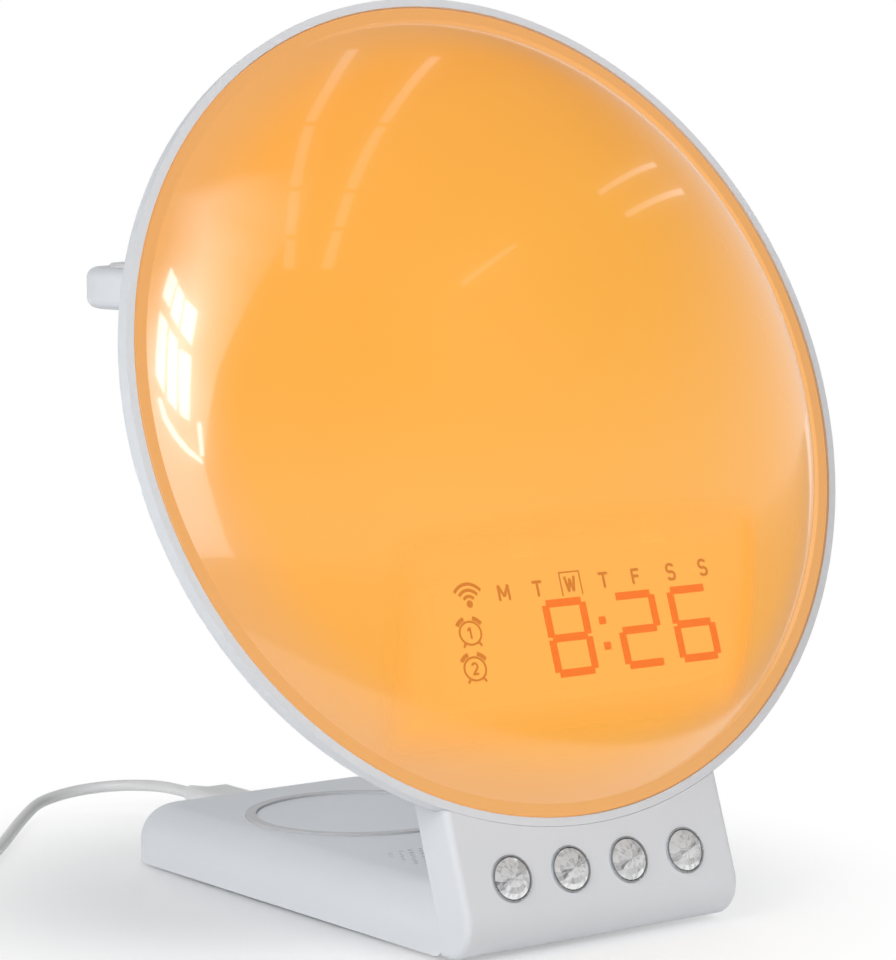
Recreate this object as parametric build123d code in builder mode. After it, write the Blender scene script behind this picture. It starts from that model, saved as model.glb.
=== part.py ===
from build123d import *
from math import asin, cos, hypot, pi, radians, sin, sqrt, tan
import os

# Sunrise alarm clock: a round, back-leaning lamp head on an L-shaped base that charges a phone,
# with an arm behind the head that charges a watch.
# Millimetres. +Z is up, -Y is the lit front. The origin is on the table, under the middle of the
# clock's own width and depth; the free power lead is not counted.

os.makedirs("parts", exist_ok=True)

# ---------------------------------------------------------------- driving dimensions
# Whole object
overall_depth = 140.0  # front of the dome to the back of the base
lamp_tilt = 18.9  # how far the head leans back from upright, degrees
lip_clearance = 24.87  # lowest point of the lip above the table

# Head housing, a moulded pan
lamp_radius = 91.0
lip_width = 1.8  # front edge of the pan that stays visible round the dome
band_depth = 4.2  # straight side band behind the lip
band_wall = 3.6
head_depth = 24.8  # lip to the outside of the flat back
back_inset = 29.0  # edge of the flat back, in from the side band
housing_wall = 2.2
band_round = 3.0
back_round = 7.0
seat_depth = 1.8  # lip down to the ledge that carries the dome's flange

# Dome, a moulded milky diffuser
dome_rise = 33.7  # apex in front of the lip
dome_wall = 1.8
flange_width = 2.7  # flat flange outside the foot of the dome
flange_thickness = 1.6

# Light engine
tray_wall = 1.0
tray_inset = 13.0  # edge of the tray's flat floor, in from the side band
board_thickness = 1.6
led_board_inset = 33.0  # edge of the board, in from the side band
led_board_depth = 5.2  # lip down to the board's front face
led_size = 5.0
led_height = 1.6
led_rings = ((7 / 29, 6), (15 / 29, 12), (23 / 29, 18))  # share of the board's radius, number of chips
led_post_radius = 3.5
led_post_share = 17 / 29  # circle of the posts, share of the board's radius
led_post_count = 4
led_post_turn = 45.0  # first post from the level line, degrees

# Display module behind the dome
display_width = 76.0
display_height = 26.0
display_x = 4.0
display_edge = 17.03  # lower right corner of the display, in from the side band
display_face_depth = -7.3  # in front of the lip
display_wall = 1.2
display_round = 7.0
digit_height = 16.4
digit_width = 11.2
digit_pitch = 14.9
digit_stroke = 1.55
digit_slant_gap = 0.35
digits_x = 17.5  # middle of the second figure
digits_below = 1.6  # middle of the figures below the middle of the display
segment_proud = 0.3
reading = "826"
segment_names = {"8": "abcdefg", "2": "abged", "6": "afgedc"}
digit_steps = (-1.245, 0, 1)  # the first figure stands further off, past the colon
colon_shift = 0.63  # colon before the second figure, share of the pitch
colon_spread = 1 / 6  # each dot from the middle line, share of the figure's height

# Base
base_width = 72.0
leg_setback = 0.0  # the leg's face is flush with the lip
leg_thickness = 10.0
leg_wall = 1.9
leg_round = 1.6
toe_round = 7.5
pad_height = 13.6
pad_wall = 2.2
pad_round = 8.0
rear_round = 12.0
foot_stand = 0.8  # how far the rubber feet lift the base
cover_thickness = 2.0
toe_length = 19.0  # moulded floor of the toe, ahead of the bottom cover
cover_round = 3.0
base_boss_radius = 2.9
base_boss_side = 5.6  # middle of the boss in from the base's side
base_boss_inset = 7.0  # from the cover's ends to the boss

# Speaker and its grille
speaker_radius = 18.0
speaker_y = -31.0
speaker_height = 6.2
speaker_magnet_radius = 9.0
speaker_magnet_height = 2.6
speaker_rim = 2.4
speaker_cone_wall = 0.4
speaker_frame_wall = 0.8
speaker_voice_radius = 5.0
grille_hole_radius = 0.6
grille_pitch = 2.7
grille_columns = 16
grille_rows = 14

# Phone charger
coil_y = 24.6
coil_radius = 22.5
coil_hole_radius = 10.0
coil_thickness = 1.2
ferrite_radius = 25.0
ferrite_thickness = 0.7
carrier_size = 52.0
carrier_thickness = 1.0
carrier_leg_radius = 2.0
carrier_leg_side = 5.0  # middle of the leg in from the main board's side
carrier_leg_y = 18.0
pad_ring_radius = 26.0
pad_ring_width = 2.5
pad_ring_proud = 0.5
pad_ring_sunk = 0.5

# Main board
board_side = 9.0  # main board's side in from the base's side
board_front_y = -4.0
board_rear_gap = 1.8  # board's rear edge to the inside of the rear wall
board_lift = 1.2  # board above the bottom cover
board_post_radius = 2.2
board_post_inset = 3.5
cell_radius = 6.25
cell_thickness = 2.0
cell_side = 12.2  # middle of the cell in from the main board's side
cell_wall = 0.6
cell_inset = 1.2
socket_width = 9.0
socket_height = 3.2
socket_length = 7.4
socket_wall = 0.3
chip_table = (
    # x as a share of the board's half width, y, width, length, height
    (0, 24.0, 9.0, 9.0, 1.2),
    (-12 / 27, 12.0, 6.0, 5.0, 1.4),
    (14 / 27, 14.0, 7.0, 7.0, 2.2),
    (12 / 27, 36.0, 5.0, 6.0, 1.5),
    (-13 / 27, 36.0, 4.0, 5.0, 1.0),
    (14 / 27, 58.0, 6.0, 6.0, 3.0),
    (-15.5 / 27, 0.5, 8.0, 5.0, 2.0),
)

# Push buttons
button_count = 4
button_side = 13.1  # middle of the outer buttons in from the base's side
button_height = 16.7  # middle of the buttons above the table, on the leg's face
button_radius = 4.4
button_sides = 16
crystal_crown = 1.3  # crown standing out of the leg's face
crystal_base = 0.4  # girdle sunk behind the leg's face
crown_taper = 52.0
button_travel = 0.6
ring_width = 0.4
ring_proud = 0.3
ring_depth = 1.0
ring_fit = 0.05
crystal_girdle = 0.1
stem_flange_radius = 6.0
stem_flange_thickness = 0.6
stem_pin_radius = 0.9
switch_size = 5.2
switch_height = 1.4
switch_gap = 0.3  # pressed stem flange to the switch
stem_gap = 0.15  # stem flange to the back of the leg's wall
switch_hole_radius = 1.2
switch_hole_depth = 1.1
pin_reach = 0.3  # how far the pin stands in the switch at rest
button_board_thickness = 0.8
button_board_side = 3.2  # button board's end in from the base's side
button_board_height = 12.6
button_post_radius = 1.6
button_post_side = 4.8  # middle of the post in from the base's side
button_screw_radius = 0.8

# Steel neck plate that holds the head
neck_side = 11.0  # neck plate's edge in from the base's side
neck_thickness = 1.4
neck_board_gap = 0.5
neck_overlap = 30.0  # how far the plate reaches up inside the head
neck_slot_reach = 14.0
neck_screw_head = 0.8
neck_foot_length = 44.0
neck_post_radius = 3.2
neck_post_x = 17.0
neck_post_inset = 21.0  # posts in from the lip
neck_bend_radius = 4.6
window_side = 8.0  # middle of the ribbon's window in from the neck plate's edge
window_width = 8.0

# Flat ribbon cables
ribbon_width = 6.0
ribbon_thickness = 0.4
head_ribbon_width = 12.0
ribbon_bend = 2.8
ribbon_end_gap = 0.1

# Watch arm
arm_side = 29.0  # middle of the arm in from the edge of the flat back
arm_head_y = 49.0
arm_head_radius = 19.0
arm_width = 26.0
arm_height = 9.2
arm_rise = 18.54  # underside of the arm above the lamp's middle
arm_wall = 1.8
arm_round = 2.4
arm_root_length = 9.0  # solid root that takes the screws
arm_blend = 9.0  # fillet where the neck meets the round head
arm_screw_lift = 3.4
arm_screw_bite = 4.5
arm_lid_thickness = 2.4
puck_radius = 14.0
puck_proud = 0.8
puck_depth = 1.4
puck_dish = 0.5
watch_coil_radius = 12.0
watch_coil_hole = 5.0
watch_coil_thickness = 1.6
watch_ferrite_thickness = 0.8
watch_magnet_radius = 4.0
watch_post_radius = 10.0
watch_post_hole = 3.0

# Screws and feet
screw_radius = 1.1
screw_head_radius = 2.1
screw_head_height = 1.3
foot_radius = 5.0
foot_height = 1.6
foot_side = 14.0  # middle of the foot in from the base's side
foot_front_inset = 8.0
foot_rear_inset = 9.0

# Power lead
cord_radius = 1.4
coil_turn_radius = 16.8
coil_columns = 5
coil_layers = 2
coil_turns = 8.4
coil_inset = 0.2  # how far the turns lie inside the coil's outer surface
plug_width = 12.0
plug_height = 6.4
plug_length = 18.0
relief_length = 9.5
relief_tip_radius = 2.0
plug_tip_width = 8.3
plug_tip_height = 2.5
plug_tip_length = 6.0
far_plug_width = 16.0
far_plug_height = 8.0
far_plug_length = 20.0
far_shell_width = 12.0
far_shell_height = 4.5
far_shell_length = 18.0
far_shell_wall = 0.3
tie_width = 5.0
tie_thickness = 0.8
coil_place = (-94.0, 84.7)
join_heading = 225.6  # direction in which the lead runs into the coil, degrees
first_run = 8.8
last_run = 9.0
bend_share = 0.45  # part of the shorter run that a bend uses up

# Clearances
seam_gap = 0.2  # between mouldings
flush_gap = 0.06  # head to the leg that wraps it
flange_gap = 0.25  # dome flange to the lip
button_gap = 0.15  # crystal to its ring
chip_gap = 0.4  # LED to the tray's window
fit_gap = 0.1  # screw to its clearance hole, socket to its window
hidden = 0.5  # how far a cutting or joining body runs past a face
touch = 0.01  # two places nearer than this are one

# ---------------------------------------------------------------- places that follow
tilt = radians(lamp_tilt)
lamp_height = lip_clearance + lamp_radius * cos(tilt)
back_radius = lamp_radius - back_inset
cap_radius = lamp_radius - lip_width - flange_gap - flange_width  # foot of the dome
flange_radius = cap_radius + flange_width
flange_top = flange_thickness - seat_depth
dome_height = dome_rise - flange_top
sphere_radius = (cap_radius**2 + dome_height**2) / (2 * dome_height)
sphere_offset = dome_rise - sphere_radius  # sphere centre along the lamp's axis
inner_sphere = sphere_radius - dome_wall
lamp_y = sphere_radius + sphere_offset * cos(tilt) - overall_depth / 2

lamp_centre = Vector(0, lamp_y, lamp_height)
lamp_normal = Vector(0, -cos(tilt), sin(tilt))
lamp_face = Plane(origin=lamp_centre, x_dir=(1, 0, 0), z_dir=lamp_normal)
lamp_section = Plane(origin=lamp_centre, x_dir=(1, 0, 0), z_dir=(0, -sin(tilt), -cos(tilt)))
lamp_axis = Axis(origin=lamp_centre, direction=lamp_normal)

rear_y = overall_depth / 2
base_bottom = foot_stand
cover_top = base_bottom + cover_thickness
pad_ceiling = pad_height - pad_wall
base_half = base_width / 2
base_boss_x = base_half - base_boss_side
foot_x = base_half - foot_side
board_half_width = base_half - board_side
neck_half_width = base_half - neck_side
button_pitch = 2 * (base_half - button_side) / (button_count - 1)
button_post_x = base_half - button_post_side
arm_x = arm_side - back_radius
arm_bottom_z = lamp_height + arm_rise


def slope_y(depth, height):
    """Y of the leaning plane that lies depth behind the lip, at a height above the table."""
    return lamp_y + depth * cos(tilt) + (height - lamp_height + depth * sin(tilt)) * tan(tilt)


def slope_drop(depth, height):
    """Distance below the lamp's middle, measured in the leaning plane, of a height above the table."""
    return (lamp_height - depth * sin(tilt) - height) / cos(tilt)


leg_back = leg_setback + leg_thickness
leg_inner_front = leg_setback + leg_wall
leg_inner_back = leg_back - leg_wall
pad_start_y = slope_y(leg_back, pad_height)
cover_front_y = slope_y(leg_setback, base_bottom) + toe_length
cover_rear_y = rear_y - pad_wall - seam_gap
boss_ys = (cover_front_y + base_boss_inset + base_boss_radius, cover_rear_y - base_boss_inset)
button_drop = slope_drop(leg_setback, button_height)
first_button_x = -(button_count - 1) / 2 * button_pitch
button_spots = [(first_button_x + place * button_pitch, -button_drop) for place in range(button_count)]
board_post_spots = [(-button_post_x, -button_drop), (button_post_x, -button_drop)]
board_bottom = cover_top + board_lift
board_top = board_bottom + board_thickness
board_rear_y = rear_y - pad_wall - board_rear_gap
socket_z = board_top + socket_height / 2

# staggered holes of the grille
grille_spots = [
    (
        (column - (grille_columns - 1) / 2 + (row % 2) / 2 - 0.25) * grille_pitch,
        speaker_y + (row - (grille_rows - 1) / 2) * grille_pitch * sin(pi / 3),
    )
    for row in range(grille_rows)
    for column in range(grille_columns)
]


# ================================================================ head
def head_outline(gap):
    """Half section of the head's outside, grown by a gap."""
    with BuildSketch(lamp_section) as outline:
        with BuildLine():
            Polyline(
                (0, gap),
                (lamp_radius + gap, gap),
                (lamp_radius + gap, -band_depth),
                (back_radius + gap, -head_depth - gap),
                (0, -head_depth - gap),
                close=True,
            )
        make_face()
        back = [corner for corner in outline.vertices() if is_corner(corner, back_radius + gap)]
        fillet(back, back_round)
        band = [corner for corner in outline.vertices() if is_corner(corner, lamp_radius + gap)]
        fillet(ShapeList(band).sort_by(Axis.Y)[0], band_round)
    return outline.sketch


def is_corner(corner, radius):
    """True for a section corner at a radius from the lamp's axis."""
    return abs(corner.X - radius) < touch


with BuildPart() as head_envelope:
    add(head_outline(flush_gap))
    revolve(axis=lamp_axis)

board_back = led_board_depth + board_thickness
stem_front = leg_inner_front + stem_gap
stem_back = stem_front + stem_flange_thickness
switch_front = stem_back + button_travel + switch_gap
button_board_front = switch_front + switch_height
button_board_back = button_board_front + button_board_thickness
neck_front = button_board_back + neck_board_gap
neck_back = neck_front + neck_thickness
post_floor = head_depth - housing_wall
neck_top_drop = lamp_radius - neck_overlap
neck_post_spots = [(side * neck_post_x, neck_post_inset - lamp_radius) for side in (-1, 1)]
arm_screw_z = arm_bottom_z + arm_screw_lift
arm_screw_up = -slope_drop(head_depth, arm_screw_z)
arm_screw_spots = [(arm_x + side * arm_width / 4, arm_screw_up) for side in (-1, 1)]
led_board_radius = lamp_radius - led_board_inset
led_post_circle = led_board_radius * led_post_share
led_post_turns = [radians(led_post_turn) + 2 * pi * post / led_post_count for post in range(led_post_count)]
led_post_spots = [(led_post_circle * cos(turn), led_post_circle * sin(turn)) for turn in led_post_turns]

with BuildPart() as head_form:
    add(head_outline(0))
    revolve(axis=lamp_axis)

# posts that carry the neck plate, ending in the slanted wall
with BuildPart() as neck_posts:
    with BuildSketch(lamp_face.offset(-post_floor)):
        with Locations(*neck_post_spots):
            Circle(neck_post_radius)
    extrude(amount=post_floor - neck_back)
    add(head_form, mode=Mode.INTERSECT)

with BuildPart() as rear_housing:
    add(head_form)
    with BuildSketch(lamp_section):
        with BuildLine():
            Polyline(
                (0, hidden),
                (lamp_radius - lip_width, hidden),
                (lamp_radius - lip_width, -seat_depth),
                (lamp_radius - band_wall, -seat_depth),
                (lamp_radius - band_wall, -band_depth - housing_wall / 2),
                (back_radius - housing_wall, -post_floor),
                (0, -post_floor),
                close=True,
            )
        make_face()
    revolve(axis=lamp_axis, mode=Mode.SUBTRACT)
    # posts that carry the LED board
    with BuildSketch(lamp_face.offset(-post_floor - hidden)):
        with Locations(*led_post_spots):
            Circle(led_post_radius)
    extrude(amount=post_floor + hidden - board_back)
    add(neck_posts)
    # pilot holes down the posts
    with BuildSketch(lamp_face.offset(-board_back)):
        with Locations(*led_post_spots):
            Circle(screw_radius)
    extrude(amount=-led_post_radius * 2, mode=Mode.SUBTRACT)
    with BuildSketch(lamp_face.offset(-neck_back)):
        with Locations(*neck_post_spots):
            Circle(screw_radius)
    extrude(amount=-neck_post_radius, mode=Mode.SUBTRACT)
    # slot in the side band for the neck plate and the ribbon
    with BuildSketch(lamp_face.offset(-button_board_front + seam_gap)):
        with Locations((0, -lamp_radius + neck_slot_reach / 2 - hidden)):
            Rectangle(2 * (neck_half_width + seam_gap), neck_slot_reach + 2 * hidden)
    extrude(amount=-(neck_back - button_board_front + 2 * seam_gap), mode=Mode.SUBTRACT)
    # screw holes for the watch arm
    with BuildSketch(lamp_face.offset(-head_depth - hidden)):
        with Locations(*arm_screw_spots):
            Circle(screw_radius + fit_gap)
    extrude(amount=housing_wall + 2 * hidden, mode=Mode.SUBTRACT)
rear_housing.part.label = "rear_housing"

flange_inner = sqrt(inner_sphere**2 - (sphere_offset + seat_depth) ** 2)
cap_angle = asin(cap_radius / sphere_radius)
inner_angle = asin(flange_inner / inner_sphere)

with BuildPart() as front_diffuser:
    with BuildSketch(lamp_section):
        with BuildLine():
            ThreePointArc(
                (0, dome_rise),
                (sphere_radius * sin(cap_angle / 2), sphere_offset + sphere_radius * cos(cap_angle / 2)),
                (cap_radius, flange_top),
            )
            Polyline(
                (cap_radius, flange_top),
                (flange_radius, flange_top),
                (flange_radius, -seat_depth),
                (flange_inner, -seat_depth),
            )
            ThreePointArc(
                (flange_inner, -seat_depth),
                (inner_sphere * sin(inner_angle / 2), sphere_offset + inner_sphere * cos(inner_angle / 2)),
                (0, dome_rise - dome_wall),
            )
            Line((0, dome_rise - dome_wall), (0, dome_rise))
        make_face()
    revolve(axis=lamp_axis)
front_diffuser.part.label = "front_diffuser"


corner_x = display_x + display_width / 2 - display_round
corner_reach = lamp_radius - display_edge - display_round
display_drop = sqrt(corner_reach**2 - corner_x**2) + display_round - display_height / 2
digits_drop = display_drop + digits_below


def under_display(x, y):
    """True where a chip would stand inside the display's box."""
    reach_x = display_width / 2 + led_size
    reach_y = display_height / 2 + led_size
    return abs(x - display_x) < reach_x and abs(y + display_drop) < reach_y


def beside_post(x, y):
    """True where a chip would stand against one of the board's posts."""
    return min(hypot(x - post_x, y - post_y) for post_x, post_y in led_post_spots) <= led_size


chip_spots = []
for ring_share, chip_count in led_rings:
    ring_radius = led_board_radius * ring_share
    for chip in range(chip_count):
        turn = 2 * pi * chip / chip_count
        spot = (ring_radius * cos(turn), ring_radius * sin(turn))
        if not under_display(*spot) and not beside_post(*spot):
            chip_spots.append(spot)

tray_back = led_board_depth
tray_flat_radius = lamp_radius - tray_inset
tray_edge_radius = flange_inner - seam_gap
tray_edge_depth = seat_depth + seam_gap + tray_wall

with BuildPart() as reflector_tray:
    with BuildSketch(lamp_section):
        with BuildLine():
            Polyline(
                (0, -tray_back),
                (tray_flat_radius, -tray_back),
                (tray_edge_radius, -tray_edge_depth),
                (tray_edge_radius, -tray_edge_depth + tray_wall),
                (tray_flat_radius, -tray_back + tray_wall),
                (0, -tray_back + tray_wall),
                close=True,
            )
        make_face()
    revolve(axis=lamp_axis)
    with BuildSketch(lamp_face.offset(-tray_back - hidden)):
        with Locations(*chip_spots):
            Rectangle(led_size + 2 * chip_gap, led_size + 2 * chip_gap)
        with Locations(*led_post_spots):
            Circle(screw_head_radius + chip_gap)
    extrude(amount=tray_wall + 2 * hidden, mode=Mode.SUBTRACT)
reflector_tray.part.label = "reflector_tray"

with BuildPart() as led_board:
    with BuildSketch(lamp_face.offset(-board_back)):
        Circle(led_board_radius)
        with Locations(*led_post_spots):
            Circle(screw_radius + fit_gap, mode=Mode.SUBTRACT)
    extrude(amount=board_thickness)
led_board.part.label = "led_board"

with BuildPart() as led_chips:
    with BuildSketch(lamp_face.offset(-led_board_depth)):
        with Locations(*chip_spots):
            Rectangle(led_size, led_size)
    extrude(amount=led_height)
led_chips.part.label = "led_chips"


def screw_set(
    places,
    seat,
    length,
    name,
    head=screw_head_height,
    shank=screw_radius,
    cap=screw_head_radius,
):
    """Pan-head screws: heads stand on the seat plane, shanks run back against its normal."""
    with BuildPart() as screws:
        with BuildSketch(seat):
            with Locations(*places):
                Circle(cap)
        extrude(amount=head)
        with BuildSketch(seat):
            with Locations(*places):
                Circle(shank)
        extrude(amount=-length)
    screws.part.label = name
    return screws.part


led_screws = screw_set(
    led_post_spots,
    lamp_face.offset(-led_board_depth),
    board_thickness + led_post_radius,
    "led_board_screws",
)
neck_screws = screw_set(
    neck_post_spots,
    lamp_face.offset(-neck_front),
    neck_thickness + neck_post_radius,
    "neck_screws",
    neck_screw_head,
)

# ---------------------------------------------------------------- display
tray_front = tray_back - tray_wall
display_depth = tray_front - display_face_depth


def display_outline(inset, depth):
    """Rounded outline of the display's box, at a depth behind the lip."""
    with BuildSketch(lamp_face.offset(-depth)) as outline:
        with Locations((display_x, -display_drop)):
            RectangleRounded(display_width - 2 * inset, display_height - 2 * inset, display_round - inset)
    return outline.sketch


def segment_places(centre_x):
    """Name, middle and turn of the seven bars of one digit."""
    half_w = (digit_width - digit_stroke) / 2
    half_h = (digit_height - digit_stroke) / 2
    y = -digits_drop
    return {
        "a": (centre_x, y + half_h, 0),
        "g": (centre_x, y, 0),
        "d": (centre_x, y - half_h, 0),
        "f": (centre_x - half_w, y + half_h / 2, 90),
        "b": (centre_x + half_w, y + half_h / 2, 90),
        "e": (centre_x - half_w, y - half_h / 2, 90),
        "c": (centre_x + half_w, y - half_h / 2, 90),
    }


def lit_segments(grow, depth):
    """Every lit bar and the colon, grown by a clearance, at a depth behind the lip."""
    bar_h = digit_width - digit_stroke - 2 * digit_slant_gap
    bar_v = (digit_height - digit_stroke) / 2 - 2 * digit_slant_gap
    colon_x = digits_x - digit_pitch * colon_shift
    with BuildSketch(lamp_face.offset(-depth)) as bars:
        for place, figure in enumerate(reading):
            spots = segment_places(digits_x + digit_steps[place] * digit_pitch)
            for name in segment_names[figure]:
                x, y, turn = spots[name]
                with Locations(Location((x, y, 0), (0, 0, turn))):
                    Rectangle((bar_v if turn else bar_h) + 2 * grow, digit_stroke + 2 * grow)
        with Locations(*[(colon_x, -digits_drop + side * digit_height * colon_spread) for side in (-1, 1)]):
            Rectangle(digit_stroke + 2 * grow, digit_stroke + 2 * grow)
    return bars.sketch


display_window_depth = display_face_depth + display_wall
with BuildPart() as display_shroud:
    extrude(display_outline(0, tray_front), amount=display_depth)
    extrude(
        display_outline(display_wall, tray_front + hidden),
        amount=display_depth - display_wall + hidden,
        mode=Mode.SUBTRACT,
    )
    extrude(
        lit_segments(fit_gap, display_window_depth + hidden),
        amount=display_wall + 2 * hidden,
        mode=Mode.SUBTRACT,
    )
display_shroud.part.label = "display_shroud"

with BuildPart() as display_segments:
    extrude(lit_segments(0, display_window_depth), amount=display_wall + segment_proud)
display_segments.part.label = "display_segments"

with BuildPart() as display_board:
    extrude(
        display_outline(display_wall + fit_gap, display_window_depth + board_thickness),
        amount=board_thickness,
    )
display_board.part.label = "display_board"

# ================================================================ base
def pad_outline(inset, front_y, front_round, height):
    """Plan of the pad: square in front, round at the back corners."""
    with BuildSketch(Plane.XY.offset(height)) as outline:
        with Locations((0, (front_y + rear_y - inset) / 2)):
            Rectangle(base_width - 2 * inset, rear_y - inset - front_y)
        corners = outline.vertices().sort_by(Axis.Y)
        fillet(corners[2:], rear_round - inset)
        if front_round:
            fillet(outline.vertices().sort_by(Axis.Y)[:2], front_round)
    return outline.sketch


def pad_form(inset, front_y, floor, ceiling):
    """Pad block with a soft top edge."""
    with BuildPart() as form:
        extrude(pad_outline(inset, front_y, 0, floor), amount=ceiling - floor)
        top = form.faces().sort_by(Axis.Z)[-1].edges().sort_by(Axis.Y)[1:]
        fillet(top, pad_round - inset)
    return form


def leg_outline(front, back, floor, toe, stub_reach):
    """Side profile of the leaning leg with its rounded toe."""
    stub_top = floor + stub_rise
    with BuildSketch(Plane.YZ) as outline:
        with BuildLine():
            Polyline(
                (slope_y(front, floor), floor),
                (slope_y(front, leg_top_z), leg_top_z),
                (slope_y(back, leg_top_z), leg_top_z),
                (slope_y(back, stub_top), stub_top),
                (slope_y(front, floor) + stub_reach, stub_top),
                (slope_y(front, floor) + stub_reach, floor),
                close=True,
            )
        make_face()
        fillet(outline.vertices().sort_by(Axis.X)[0], toe)
    return outline.sketch


leg_top_z = lamp_height / 2
toe_run = 1 / tan(radians(90 - lamp_tilt) / 2)  # tangent length of the toe's round, per unit of radius
stub_rise = pad_wall + leg_wall - hidden
pad_block_front = pad_start_y - toe_round / 2
pad_hollow_front = slope_y(leg_inner_back, base_bottom + leg_wall + stub_rise)

with BuildPart() as pad_block:
    add(pad_form(0, pad_block_front, base_bottom, pad_height))
    front_low = pad_block.edges().filter_by(Axis.X).group_by(Axis.Y)[0].sort_by(Axis.Z)[0]
    fillet(front_low, toe_round / 2)

with BuildPart() as base_shell:
    extrude(
        leg_outline(leg_setback, leg_back, base_bottom, toe_round, toe_run * toe_round + leg_wall),
        amount=base_half,
        both=True,
    )
    side_edges = base_shell.faces().filter_by(Axis.X).edges().filter_by(GeomType.LINE)
    long_edges = [edge for edge in side_edges if edge.length > leg_top_z / 2]
    fillet(ShapeList(long_edges).sort_by(Axis.Y)[:2], leg_round)
    add(pad_block)
    # hollow of the leg and of the pad, one open space
    extrude(
        leg_outline(
            leg_inner_front,
            leg_inner_back,
            base_bottom + leg_wall,
            toe_round - leg_wall,
            toe_run * (toe_round - leg_wall) + leg_wall,
        ),
        amount=base_half - pad_wall,
        both=True,
        mode=Mode.SUBTRACT,
    )
    add(
        pad_form(pad_wall, pad_hollow_front, base_bottom + pad_wall, pad_ceiling),
        mode=Mode.SUBTRACT,
    )
    # opening for the bottom cover
    extrude(
        pad_outline(pad_wall, cover_front_y - seam_gap, cover_round, base_bottom - hidden),
        amount=pad_wall + 2 * hidden,
        mode=Mode.SUBTRACT,
    )
    # bosses for the bottom cover's screws
    with BuildSketch(Plane.XY.offset(cover_top)):
        with Locations(*[(side * base_boss_x, y) for side in (-1, 1) for y in boss_ys]):
            Circle(base_boss_radius)
    extrude(amount=pad_ceiling - cover_top)
    with BuildSketch(Plane.XY.offset(cover_top)):
        with Locations(*[(side * base_boss_x, y) for side in (-1, 1) for y in boss_ys]):
            Circle(screw_radius)
    extrude(amount=base_boss_radius * 2, mode=Mode.SUBTRACT)
    # posts for the button board
    with BuildSketch(lamp_face.offset(-leg_inner_front + hidden)):
        with Locations(*board_post_spots):
            Circle(button_post_radius)
    extrude(amount=-(button_board_front - leg_inner_front) - hidden)
    with BuildSketch(lamp_face.offset(-button_board_front)):
        with Locations(*board_post_spots):
            Circle(button_screw_radius)
    extrude(amount=button_board_front - leg_inner_front, mode=Mode.SUBTRACT)
    # the head nests in the top of the leg
    add(head_envelope, mode=Mode.SUBTRACT)
    # button holes, each with a seat for its ring
    with BuildSketch(lamp_face.offset(-leg_setback + hidden)):
        with Locations(*button_spots):
            Circle(button_radius + button_gap)
    extrude(amount=-leg_wall - 2 * hidden, mode=Mode.SUBTRACT)
    with BuildSketch(lamp_face.offset(-leg_setback + hidden)):
        with Locations(*button_spots):
            Circle(button_radius + button_gap + ring_width)
    extrude(amount=-ring_depth - hidden, mode=Mode.SUBTRACT)
    # speaker grille
    with BuildSketch(Plane.XY.offset(pad_height + hidden)):
        with Locations(*grille_spots):
            Circle(grille_hole_radius)
    extrude(amount=-pad_wall - 2 * hidden, mode=Mode.SUBTRACT)
    # groove for the anti-slip ring
    with BuildSketch(Plane.XY.offset(pad_height - pad_ring_sunk)):
        with Locations((0, coil_y)):
            Circle(pad_ring_radius)
            Circle(pad_ring_radius - pad_ring_width, mode=Mode.SUBTRACT)
    extrude(amount=pad_ring_sunk + hidden, mode=Mode.SUBTRACT)
    # window for the power socket
    with BuildSketch(Plane.XZ.offset(-rear_y - hidden)):
        with Locations((0, socket_z)):
            SlotOverall(socket_width + 2 * fit_gap, socket_height + 2 * fit_gap)
    extrude(amount=pad_round, mode=Mode.SUBTRACT)
base_shell.part.label = "base_shell"

# ---------------------------------------------------------------- bottom cover and feet
foot_ys = (cover_front_y + foot_front_inset, cover_rear_y - foot_rear_inset)
foot_spots = [(side * foot_x, y) for side in (-1, 1) for y in foot_ys]
boss_spots = [(side * base_boss_x, y) for side in (-1, 1) for y in boss_ys]
board_middle_y = (board_front_y + board_rear_y) / 2
board_half_length = (board_rear_y - board_front_y) / 2
post_x = board_half_width - board_post_inset
post_reach = board_half_length - board_post_inset
post_spots = [(side * post_x, board_middle_y + end * post_reach) for side in (-1, 1) for end in (-1, 1)]
neck_foot_bottom = cover_top + seam_gap
neck_foot_top = neck_foot_bottom + neck_thickness
neck_foot_end_y = slope_y(neck_front, neck_foot_bottom) + neck_foot_length
neck_foot_spots = [(side * neck_post_x, neck_foot_end_y - neck_foot_length / 4) for side in (-1, 1)]

with BuildPart() as bottom_cover:
    extrude(
        pad_outline(pad_wall + seam_gap, cover_front_y, cover_round, base_bottom),
        amount=cover_thickness,
    )
    with BuildSketch(Plane.XY.offset(cover_top)):
        with Locations(*post_spots):
            Circle(board_post_radius)
    extrude(amount=board_lift)
    # pilot holes for the board's screws
    with BuildSketch(Plane.XY.offset(board_bottom)):
        with Locations(*post_spots):
            Circle(screw_radius)
    extrude(amount=-board_lift - cover_thickness / 2, mode=Mode.SUBTRACT)
    # countersunk seats of the cover's own screws
    with BuildSketch(Plane.XY.offset(base_bottom)):
        with Locations(*boss_spots, *neck_foot_spots):
            Circle(screw_head_radius + fit_gap)
    extrude(amount=screw_head_height, mode=Mode.SUBTRACT)
    with BuildSketch(Plane.XY.offset(base_bottom)):
        with Locations(*boss_spots, *neck_foot_spots):
            Circle(screw_radius + fit_gap)
    extrude(amount=cover_thickness, mode=Mode.SUBTRACT)
    # pockets for the feet
    with BuildSketch(Plane.XY.offset(base_bottom)):
        with Locations(*foot_spots):
            Circle(foot_radius + fit_gap)
    extrude(amount=foot_height - foot_stand, mode=Mode.SUBTRACT)
bottom_cover.part.label = "bottom_cover"

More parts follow.
